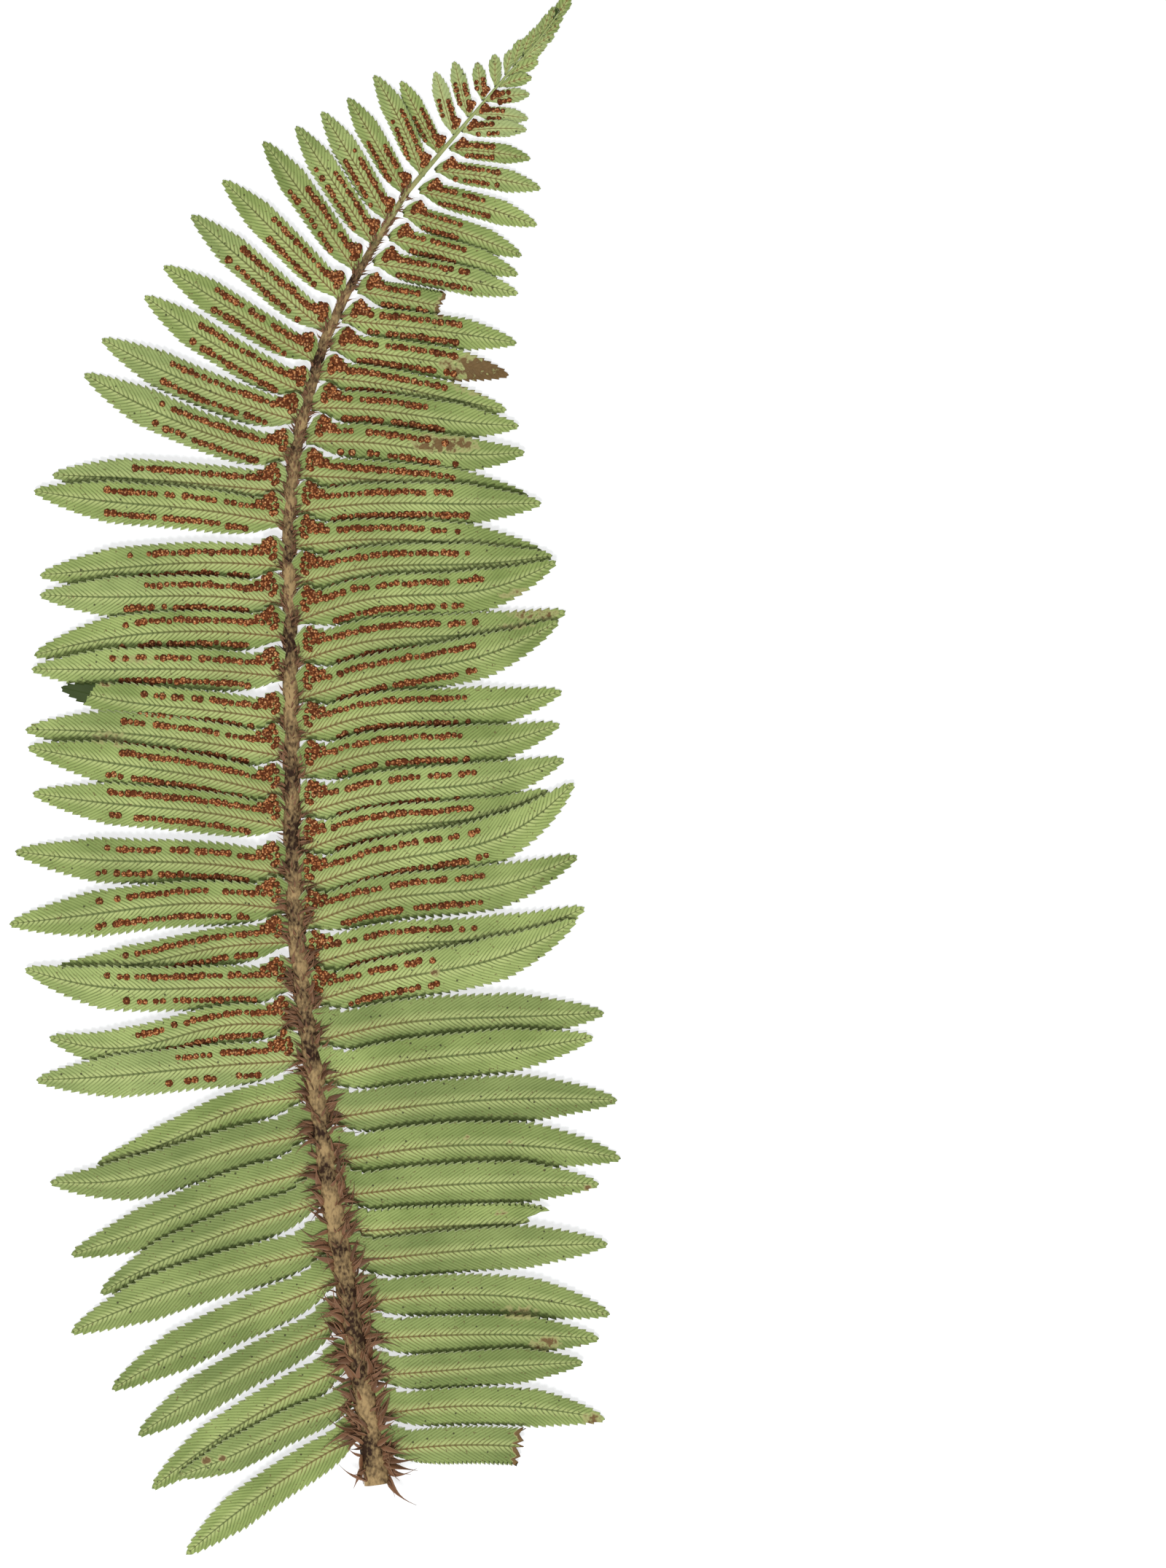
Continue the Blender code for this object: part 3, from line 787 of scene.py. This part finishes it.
def papery_scale():
    """Chaffy scale: thin brown paper, streaked lengthwise, paler along its edges."""
    made, tree, shader = new_material("papery_fern_scale")
    uv = add_node(tree, "ShaderNodeUVMap", {"uv_map": "UVMap"}).outputs[0]
    parts = add_node(tree, "ShaderNodeSeparateXYZ", None, {0: uv}).outputs
    tone = add_node(tree, "ShaderNodeAttribute", {"attribute_name": "tone"}).outputs["Fac"]
    stretched = add_node(tree, "ShaderNodeMapping", {"Scale": (1.5, 9.0, 1.0)}, {0: uv})
    streaks = add_node(
        tree, "ShaderNodeTexNoise", {"Scale": 2.0, "Detail": 2.0}, {0: stretched.outputs[0]}
    )
    colour = add_node(
        tree,
        "ShaderNodeMix",
        {"data_type": "RGBA", 6: linear("462716"), 7: linear("94694A")},
        {0: streaks.outputs[0]},
    )
    away = add_node(tree, "ShaderNodeMath", {"operation": "SUBTRACT", 1: 0.5}, {0: parts[1]})
    away = add_node(tree, "ShaderNodeMath", {"operation": "ABSOLUTE"}, {0: away.outputs[0]})
    colour = lay_tints(
        tree,
        colour.outputs[2],
        [
            (away.outputs[0], (0.2, 0.5), (0.0, 0.35), "A98C6C"),
            (tone, (0.0, -1.0), (0.0, 0.7), "3A2413"),
        ],
    )
    relief = (0.4, 0.05 * MILLIMETRE)
    finish_surface(tree, shader, colour, relief, streaks.outputs[0], (0.6, 0.25))
    return made


UNDERSIDE = leaf_underside()
UPPER_SIDE = leaf_upper_side()
SORUS = ripe_sorus()
STALK_SKIN = scurfy_stalk()
SCALE = papery_scale()


def deselect():
    bpy.ops.object.select_all(action="DESELECT")


def new_grid(name, columns, rows):
    """A flat sheet of that many vertices along and across, with a map of its own."""
    deselect()
    bpy.ops.mesh.primitive_grid_add(
        x_subdivisions=columns - 1, y_subdivisions=rows - 1, size=2, calc_uvs=True
    )
    made = bpy.context.active_object
    made.name = name
    made.data.name = name
    return made


def grid_index(column, row, columns):
    return row * columns + column


def apply_modifiers(made):
    deselect()
    made.select_set(True)
    bpy.context.view_layer.objects.active = made
    for modifier in list(made.modifiers):
        bpy.ops.object.modifier_apply(modifier=modifier.name)


def keep_inside(made):
    """Moves points that pass the part's box or the floor back inside."""
    low, high = cad_box
    for vertex in made.data.vertices:
        vertex.co.x = min(max(vertex.co.x, low[0] + BOX_MARGIN), high[0] - BOX_MARGIN)
        vertex.co.y = min(max(vertex.co.y, low[1] + BOX_MARGIN), high[1] - BOX_MARGIN)
        vertex.co.z = max(vertex.co.z, LOWEST_POINT)


def smooth(made):
    for face in made.data.polygons:
        face.use_smooth = True


def set_attribute(mesh, name, values):
    field = mesh.attributes.get(name) or mesh.attributes.new(name, "FLOAT", "POINT")
    field.data.foreach_set("value", values)


def join_all(name, parts):
    """Joins copies into the first part, under one name."""
    deselect()
    for part in parts:
        part.select_set(True)
    bpy.context.view_layer.objects.active = parts[0]
    bpy.ops.object.join()
    parts[0].name = name
    parts[0].data.name = name
    return parts[0]


def copy_of(master, name, matrix, tone):
    """A copy of a small part with its own mesh, put in place inside that mesh."""
    mesh = master.data.copy()
    mesh.transform(matrix)
    set_attribute(mesh, "tone", [tone] * len(mesh.vertices))
    made = bpy.data.objects.new(name, mesh)
    bpy.context.scene.collection.objects.link(made)
    return made


def rachis_at(share):
    """Middle, half-width and height of the rachis at a share of its route's points."""
    position = min(1.0, max(0.0, share)) * (len(RACHIS_ROUTE) - 1)
    first = min(int(position), len(RACHIS_ROUTE) - 2)
    a, b = RACHIS_ROUTE[first], RACHIS_ROUTE[first + 1]
    rest = position - first
    middle = place(a[:2]).lerp(place(b[:2]), rest)
    half_width = mix_of(a[2], b[2], rest) * METRES_PER_PIXEL
    height = max(half_width * RACHIS_HEIGHT_IN_HALF_WIDTHS, RACHIS_LEAST_HEIGHT)
    return middle, half_width, height


ROUTE_SHARES = [i / ROUTE_STEPS for i in range(ROUTE_STEPS + 1)]
ROUTE_POINTS = [rachis_at(share)[0] for share in ROUTE_SHARES]


def rachis_share_near(point):
    """The share of the route that lies nearest to a point."""
    gaps = [(spot.xy - point.xy).length for spot in ROUTE_POINTS]
    return ROUTE_SHARES[gaps.index(min(gaps))]


def rachis_direction(share, step=0.02):
    """The way the rachis runs there, towards the frond's tip."""
    return (rachis_at(share + step)[0] - rachis_at(share - step)[0]).normalized()


class Leaflet:
    """Where one pinna's surface runs, worked out from its row."""

    def __init__(self, pinna, side, seed):
        self.pinna = pinna
        self.side = side
        self.draw = random.Random(seed)
        self.seed = seed
        self.base = place(pinna.base)
        self.chord = place(pinna.tip) - self.base
        self.length = self.chord.length
        self.size = min(1.0, self.length / (FULL_LENGTH_PX * METRES_PER_PIXEL))
        width = WIDTH_AT_NO_LENGTH_PX * METRES_PER_PIXEL + WIDTH_PER_LENGTH * self.length
        self.half_width = width / 2
        share = rachis_share_near(self.base)
        _, rachis_half_width, rachis_height = rachis_at(share)
        self.along_rachis = rachis_direction(share)
        self.root_height = max(ROOT_HEIGHT_SHARE * rachis_height, LEAST_ROOT_HEIGHT)
        self.root_depth = ROOT_DEPTH_SHARE * rachis_half_width
        # Blades that lie flat over each other differ a little in height
        self.lowest_top = LOWEST_TOP + STACK_STEP * (seed % STACK_LEVELS)

    def rib(self, t):
        """Point on the middle of the rib at share t of its length, root side below 0."""
        towards_tip = crosswise(self.chord) * self.side
        bend = self.pinna.bow * 4 * t * (1 - t)
        bend += self.pinna.swing * math.sin(2 * math.pi * t)
        if t < 0:
            bend = 0.0
        point = self.base + self.chord * t + towards_tip * (bend * METRES_PER_PIXEL)
        end_height = (TIP_HEIGHT_MM * self.size + self.pinna.lift) * MILLIMETRE
        arch = ARCH_MM * self.size * MILLIMETRE * 4 * t * (1 - t)
        share = min(1.0, max(0.0, t))
        point.z = mix_of(self.root_height, end_height, share) + max(0.0, arch)
        return point

    def direction(self, t, step=0.02):
        flat = self.rib(min(1.0, t + step)) - self.rib(max(0.0, t - step))
        flat.z = 0
        return flat.normalized()

    def taper(self, t):
        return min(1.0, (max(0.0, 1 - t) / TAPER_SHARE) ** TAPER_POWER)

    def distance(self, t):
        """Distance from the root in half-widths."""
        return t * self.length / self.half_width

    def reach(self, t, upper):
        """How far the margin lies from the rib, in half-widths."""
        table = UPPER_MARGIN if upper else LOWER_MARGIN
        return read_table(table, self.distance(t)) * self.taper(t)

    def out(self, t, upper):
        """The way from the rib towards a margin, beside the rachis in the ear."""
        out = crosswise(self.direction(t)) * self.side
        if upper:
            turned = ease(self.distance(t) / EAR_TURN_LENGTH)
            out = self.along_rachis.lerp(out, turned).normalized()
        return out

    def surface(self, t, width):
        """Point at share t, width half-widths out, positive on the frond's tip side."""
        reach = width * self.half_width
        point = self.rib(t) + self.out(t, width > 0) * reach
        point.z += TILT * reach
        ripple = noise.noise(Vector((point.x, point.y, 0.001 * self.seed)) * RIPPLE_SCALE)
        point.z += RIPPLE * ripple * (0.4 + abs(width))
        # The halves of the blade fall away a little from the rib
        point.z -= DROOP * self.size * width * width
        point.z = max(point.z, self.lowest_top)
        return point


def tooth_table(leaflet, columns):
    """Outward and forward steps for each column of each margin."""
    steps = {}
    for upper in (True, False):
        row = []
        bite = 1.0
        for column in range(columns):
            phase = (column + (0 if upper else 2)) % len(TOOTH_STEPS)
            if phase == 0:
                bite = leaflet.draw.uniform(*TOOTH_BITES)
            outward, forward = TOOTH_STEPS[phase]
            row.append((outward * bite, forward))
        steps[upper] = row
    return steps


def brownness(point):
    """How dead the blade is at a point, from the list of brown places."""
    x = point.x / METRES_PER_PIXEL + ORIGIN_PIXEL[0]
    y = ORIGIN_PIXEL[1] - point.y / METRES_PER_PIXEL
    most = 0.0
    for px, py, wide, high, strength in BROWN_PLACES:
        gap = math.hypot((x - px) / wide, (y - py) / high)
        if gap < BROWN_REACH:
            most = max(most, strength * ease((BROWN_REACH - gap) / BROWN_FADE))
    return most


def make_blade(name, leaflet, tone):
    """The thin toothed blade of one leaflet, from its stalk to its point."""
    pitch = TOOTH_PITCH_PX * METRES_PER_PIXEL * (0.5 + 0.5 * leaflet.size)
    columns = max(LEAST_COLUMNS, round(leaflet.length / pitch) * len(TOOTH_STEPS))
    rows = 2 * len(ROWS_ACROSS) - 1
    middle_row = len(ROWS_ACROSS) - 1
    made = new_grid(name, columns, rows)
    mesh = made.data
    teeth = tooth_table(leaflet, columns)
    root = -leaflet.root_depth / leaflet.length
    cut = leaflet.pinna.cut
    step = 1.0 / (columns - 2)
    ear_step = leaflet.half_width / leaflet.length
    flat = [None] * len(mesh.vertices)
    edges = [0.0] * len(mesh.vertices)
    browns = [0.0] * len(mesh.vertices)
    for row in range(rows):
        signed = row - middle_row
        upper = signed > 0
        across = ROWS_ACROSS[abs(signed)] * (1 if upper else -1)
        end = 1.0
        if cut:
            end = mix_of(cut[1], cut[0], (across + 1) / 2)
            end += leaflet.draw.uniform(-CUT_RAGGEDNESS, CUT_RAGGEDNESS)
        for column in range(columns):
            t = root if column == 0 else (column - 1) * step * end
            width = across * leaflet.reach(max(t, 0.0), upper)
            outward, forward = teeth[upper][column]
            lean = max(0.0, abs(across) - TEETH_FROM) / TEETH_OVER
            stalk = leaflet.distance(t) < STALK_LENGTH
            last = column >= columns - 2
            if upper and column > 0:
                # The ear leans back until it lies beside the rachis
                in_ear = ease(1 - leaflet.distance(t) / EAR_LENGTH)
                t -= EAR_LEAN * abs(across) * in_ear * ear_step
            if not stalk and not last:
                sign = 1 if upper else -1
                width += sign * outward * lean * lean * leaflet.taper(t) ** 0.5
                t += forward * step * lean * TOOTH_FORWARD
            point = leaflet.surface(min(t, 1.0), width)
            if signed == 0:
                point.z += RIB_RIDGE * (1 - 0.7 * max(0.0, t)) * leaflet.size
            index = grid_index(column, row, columns)
            mesh.vertices[index].co = point
            distance = t * leaflet.length / UV_SPAN
            flat[index] = (distance + UV_START, 0.5 + width * leaflet.half_width / UV_SPAN)
            edges[index] = abs(across)
            browns[index] = brownness(point)
            if cut and name != GREEN_CUT_PINNA:
                dying = ease((t - end + CUT_BROWN_FROM) / CUT_BROWN_OVER)
                browns[index] = max(browns[index], CUT_BROWN * dying)
    layer = mesh.uv_layers["UVMap"]
    for loop in mesh.loops:
        layer.data[loop.index].uv = flat[loop.vertex_index]
    set_attribute(mesh, "edge", edges)
    set_attribute(mesh, "brown", browns)
    set_attribute(mesh, "tone", [tone] * len(mesh.vertices))
    mesh.update()
    if sum(face.normal.z * face.area for face in mesh.polygons) < 0:
        mesh.flip_normals()
    mesh.materials.append(UNDERSIDE)
    mesh.materials.append(UPPER_SIDE)
    shell = made.modifiers.new("thickness", "SOLIDIFY")
    shell.thickness = BLADE_THICKNESS
    shell.offset = -1.0
    shell.material_offset = 1
    apply_modifiers(made)
    keep_inside(made)
    if name == FOLDED_TIP_PINNA:
        fold = place(FOLDED_TIP_PX)
        for face in made.data.polygons:
            if face.center.x - fold.x < FOLD_SLOPE * (face.center.y - fold.y):
                face.material_index = 1
    smooth(made)
    return made


def make_sorus_master(seed):
    """A low uneven heap with a flat closed base, a few dozen faces."""
    deselect()
    bpy.ops.mesh.primitive_uv_sphere_add(
        segments=SORUS_SEGMENTS, ring_count=SORUS_RINGS, radius=SORUS_RADIUS
    )
    made = bpy.context.active_object
    made.name = f"sorus_master_{seed}"
    bpy.ops.object.mode_set(mode="EDIT")
    bpy.ops.mesh.select_all(action="SELECT")
    bpy.ops.mesh.bisect(
        plane_co=(0, 0, SORUS_BASE),
        plane_no=(0, 0, 1),
        use_fill=True,
        clear_inner=True,
    )
    bpy.ops.object.mode_set(mode="OBJECT")
    draw = random.Random(seed)
    for vertex in made.data.vertices:
        vertex.co *= draw.uniform(*SORUS_UNEVENNESS)
        vertex.co.z *= SORUS_FLATNESS
    made.data.materials.append(SORUS)
    smooth(made)
    for name in ("edge", "brown", "tone"):
        set_attribute(made.data, name, [0.0] * len(made.data.vertices))
    return made


def sorus_spots(leaflet, fertile_end):
    """Shares, widths and sizes of a leaflet's sori, out to a share of its length."""
    spots = []
    draw = leaflet.draw
    first = FIRST_SORUS * leaflet.half_width / leaflet.length
    size = max(LEAST_SORUS_SIZE, min(1.0, leaflet.half_width / FULL_SORUS_HALF_WIDTH))
    pitch = SORUS_PITCH * size / leaflet.length
    for side in (1, -1):
        t = first if side > 0 else first * LOWER_ROW_START
        end = fertile_end + draw.uniform(-ROW_ENDS, ROW_ENDS)
        if leaflet.pinna.cut:
            end = min(end, min(leaflet.pinna.cut) - CLEAR_OF_CUT)
        while t < end:
            thinning = ease((t - end + MISSING_OVER) / MISSING_OVER)
            if draw.random() > MISSING_SORI + MISSING_AT_END * thinning:
                width = side * SORUS_ROW * leaflet.taper(t) * draw.uniform(*ROW_WIDTHS)
                spots.append((t, width, size * draw.uniform(*ROW_SIZES)))
            t += pitch * draw.uniform(*ROW_PITCHES)
    for distance, width in EAR_SORI:
        t = distance * leaflet.half_width / leaflet.length
        width *= draw.uniform(*EAR_WIDTHS)
        spots.append((t, width, size * draw.uniform(*EAR_SIZES)))
    return spots


def make_sori(leaflet, masters, fertile_end):
    """The sori of one leaflet, each lying on the slant of its blade."""
    made = []
    for t, width, size in sorus_spots(leaflet, fertile_end):
        point = leaflet.surface(t, width)
        out = leaflet.out(t, width > 0)
        normal = (Vector((0, 0, 1)) - out * TILT).normalized()
        turn = Vector((0, 0, 1)).rotation_difference(normal).to_matrix().to_4x4()
        spin = Matrix.Rotation(leaflet.draw.uniform(0, math.pi), 4, "Z")
        matrix = Matrix.Translation(point) @ turn @ spin @ Matrix.Scale(size, 4)
        master = leaflet.draw.choice(masters)
        made.append(copy_of(master, "sorus", matrix, leaflet.draw.uniform(*SORUS_TONES)))
    return made


def end_of_sori(index, side, leaflet):
    """The share of a leaflet's length that carries sori, or None on the sterile ones."""
    first = FIRST_FERTILE_LEFT if side < 0 else FIRST_FERTILE_RIGHT
    if index < first or leaflet.length < FERTILE_FROM_PX * METRES_PER_PIXEL:
        return None
    if leaflet.length < LONG_FROM_PX * METRES_PER_PIXEL:
        return FERTILE_SHORT
    if index == first:
        return FERTILE_FIRST
    return FERTILE_LONG


def make_leaflet(name, index, pinna, side, masters):
    """One leaflet as one piece, its blade with its sori."""
    leaflet = Leaflet(pinna, side, seed=index * 2 + (side > 0))
    fertile_end = end_of_sori(index, side, leaflet)
    tone = leaflet.draw.uniform(*(FERTILE_TONES if fertile_end else STERILE_TONES))
    if leaflet.length < YOUNG_PX * METRES_PER_PIXEL:
        tone += YOUNG_TONE
    parts = [make_blade(name, leaflet, tone)]
    if fertile_end:
        parts += make_sori(leaflet, masters, fertile_end)
    made = join_all(name, parts)
    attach(made, "root")
    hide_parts("frond")


def make_rachis():
    """The stalk: a grooved round rod on a flat side, from its cut end to the last lobe."""
    made = new_grid("rachis", RACHIS_COLUMNS, RACHIS_AROUND)
    mesh = made.data
    for column in range(RACHIS_COLUMNS):
        share = column / (RACHIS_COLUMNS - 1)
        middle, half_width, height = rachis_at(share)
        half_width *= 1 - RACHIS_SLIM_BY * ease((share - RACHIS_SLIM_FROM) / RACHIS_SLIM_OVER)
        across = -crosswise(rachis_direction(share))
        for row in range(RACHIS_AROUND):
            angle = 2 * math.pi * row / (RACHIS_AROUND - 1)
            # Grooves run along the stalk, and scurf roughens it
            groove = 1 - GROOVE_DEPTH * (0.5 + 0.5 * math.cos(GROOVES * angle))
            spot = middle * SCURF_SCALE
            if row < RACHIS_AROUND - 1:
                spot.z = angle * SCURF_TURN
            rough = 1 - SCURF_DEPTH * abs(noise.noise(spot))
            x = half_width * math.cos(angle) * groove * rough
            z = height * (0.5 + 0.5 * math.sin(angle) * groove * rough)
            z = max(z, BOX_MARGIN)
            index = grid_index(column, row, RACHIS_COLUMNS)
            mesh.vertices[index].co = middle + across * x + Vector((0, 0, z))
    deselect()
    made.select_set(True)
    bpy.context.view_layer.objects.active = made
    bpy.ops.object.mode_set(mode="EDIT")
    bpy.ops.mesh.select_all(action="SELECT")
    bpy.ops.mesh.remove_doubles(threshold=MERGE_DISTANCE)
    bpy.ops.mesh.select_all(action="DESELECT")
    bpy.ops.mesh.select_non_manifold()
    bpy.ops.mesh.fill_holes(sides=0)
    bpy.ops.mesh.select_all(action="SELECT")
    bpy.ops.mesh.normals_make_consistent(inside=False)
    bpy.ops.object.mode_set(mode="OBJECT")
    mesh.materials.append(STALK_SKIN)
    smooth(made)
    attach(made, "root")
    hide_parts("frond")


def make_scale_master(name, curl, lift):
    """One papery scale, 1 long: a narrow pointed blade that curls to a side and upwards."""
    columns = len(SCALE_WIDTHS)
    made = new_grid(name, columns, 3)
    for column, width in enumerate(SCALE_WIDTHS):
        t = column / (columns - 1)
        for row in range(3):
            across = (row - 1) * width + curl * t * t
            cup = SCALE_CUP * (row - 1) ** 2 * math.sin(math.pi * t)
            height = lift * math.sin(math.pi * 0.8 * t) + cup
            vertex = made.data.vertices[grid_index(column, row, columns)]
            vertex.co = Vector((t, across, height))
    shell = made.modifiers.new("thickness", "SOLIDIFY")
    shell.thickness = SCALE_THICKNESS
    shell.offset = 0.0
    apply_modifiers(made)
    made.data.materials.append(SCALE)
    smooth(made)
    return made


def scale_matrix(draw, share, side, fade):
    """A place on the side or top of the stalk, and a way for a scale to point."""
    middle, half_width, height = rachis_at(share)
    along = rachis_direction(share)
    lean = draw.uniform(*SIDE_LEANS)
    if draw.random() < TOP_CHANCE + TOP_CHANCE_GAIN * fade:
        lean = draw.uniform(0.0, SIDE_LEANS[0])
    across = -crosswise(along) * side
    root = middle + across * (half_width * SCALE_ROOT_DEPTH * lean)
    root.z = height * (0.5 + 0.5 * math.sqrt(max(0.0, 1 - lean * lean)))
    shortened = ease(fade * SHORTENING) ** SHORTENING_POWER
    length = mix_of(SCALE_LONGEST, SCALE_SHORTEST, shortened)
    length *= draw.uniform(*LENGTH_JITTER) * (0.55 + 0.45 * lean)
    spread = math.radians(draw.uniform(*SPREAD_DEGREES))
    spread *= 1 - 0.45 * fade
    spread *= 0.3 + 0.7 * lean
    if share < CUT_END_SHARE:
        spread *= CUT_END_SPREAD
    way = along * math.cos(spread) + across * math.sin(spread)
    most = (HIGHEST_SCALE - root.z) / length - ROOM_FOR_CURL
    way.z = max(LEAST_RISE, min(draw.uniform(*RISES), most))
    way.normalize()
    beside = Vector((0, 0, 1)).cross(way).normalized()
    turn = Matrix((way, beside, way.cross(beside))).transposed().to_4x4()
    roll = Matrix.Rotation(draw.uniform(-ROLL, ROLL), 4, "X")
    slim = Matrix.Diagonal((length, length * draw.uniform(*WIDTH_JITTER), length, 1))
    return Matrix.Translation(root) @ turn @ roll @ slim


def make_scales(masters):
    """Scales on the sides and top of the stalk, longest and most spread near the cut."""
    draw = random.Random(SCALE_SEED)
    roots = [(rachis_share_near(place(pinna.base)), -1) for pinna in LEFT_PINNAE]
    roots += [(rachis_share_near(place(pinna.base)), 1) for pinna in RIGHT_PINNAE]
    for group in range(SCALE_GROUPS):
        parts = []
        low = CHAFF_END * group / SCALE_GROUPS
        high = CHAFF_END * (group + 1) / SCALE_GROUPS
        near = [root for root in roots if low <= root[0] < high]
        for _ in range(SCALES_PER_GROUP[group]):
            share, side = mix_of(low, high, draw.random()), draw.choice((-1, 1))
            if draw.random() < TUFT_SHARE:
                root, side = draw.choice(near)
                share = max(0.0, root + draw.gauss(0, TUFT_SPREAD))
            matrix = scale_matrix(draw, share, side, share / CHAFF_END)
            parts.append(copy_of(draw.choice(masters), "scale", matrix, draw.uniform(-1, 1)))
        made = join_all(f"scales_{group + 1:02d}", parts)
        for vertex in made.data.vertices:
            vertex.co.z = min(max(vertex.co.z, LOWEST_SCALE), HIGHEST_SCALE)
        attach(made, "root")
        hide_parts("rachis_scales")


def make_floor():
    """A matt white floor that glows a little, so that the shadows on it stay pale."""
    deselect()
    bpy.ops.mesh.primitive_plane_add(size=FLOOR_SIZE, location=(0, 0, -0.1 * MILLIMETRE))
    floor = bpy.context.active_object
    floor.name = "floor"
    made, _, shader = new_material("matt_white_floor")
    shader.inputs["Base Color"].default_value = linear("A6A8AA")
    shader.inputs["Emission Color"].default_value = (1, 1, 1, 1)
    shader.inputs["Emission Strength"].default_value = FLOOR_GLOW
    shader.inputs["Roughness"].default_value = 0.9
    floor.data.materials.append(made)


def make_light():
    """An even white surround, and a soft lamp above the cut end and a little to its left."""
    scene = bpy.context.scene
    world = bpy.data.worlds.new("soft_surround")
    scene.world = world
    world.use_nodes = True
    background = world.node_tree.nodes["Background"]
    background.inputs["Color"].default_value = (1, 1, 1, 1)
    background.inputs["Strength"].default_value = SURROUND_STRENGTH
    lamp = bpy.data.lights.new("soft_lamp", "AREA")
    lamp.shape = "DISK"
    lamp.size = LAMP_WIDTH
    lamp.energy = LAMP_WATTS
    holder = bpy.data.objects.new("soft_lamp", lamp)
    holder.location = LAMP_PLACE
    holder.rotation_euler = (-holder.location).to_track_quat("-Z", "Y").to_euler()
    scene.collection.objects.link(holder)
    scene.view_settings.view_transform = "Standard"


def make_camera():
    """Straight down, as the frond lay, over the middle of the photograph."""
    camera = bpy.data.cameras.new("camera")
    camera.lens = CAMERA_LENS
    camera.sensor_width = CAMERA_SENSOR
    camera.clip_start = 0.01
    long_side = PHOTO_LONG_SIDE_PX * METRES_PER_PIXEL
    height = long_side * CAMERA_LENS / CAMERA_SENSOR
    holder = bpy.data.objects.new("camera", camera)
    holder.location = place(PHOTO_MIDDLE, height + 1.5 * MILLIMETRE)
    holder.rotation_euler = Euler((0, 0, 0))
    bpy.context.scene.collection.objects.link(holder)
    bpy.context.scene.camera = holder


def main():
    make_camera()
    sori = [make_sorus_master(seed) for seed in SORUS_SEEDS]
    for i, pinna in enumerate(LEFT_PINNAE, 1):
        make_leaflet(f"pinna_left_{i:02d}", i, pinna, -1, sori)
    for i, pinna in enumerate(RIGHT_PINNAE, 1):
        make_leaflet(f"pinna_right_{i:02d}", i, pinna, 1, sori)
    make_leaflet("terminal_lobe", TERMINAL_INDEX, TERMINAL_LOBE, 1, sori)
    for master in sori:
        bpy.data.objects.remove(master)
    make_rachis()
    masters = [
        make_scale_master(f"scale_master_{i}", curl, lift)
        for i, (curl, lift) in enumerate(SCALE_CURLS)
    ]
    make_scales(masters)
    for master in masters:
        bpy.data.objects.remove(master)
    make_floor()
    make_light()


main()
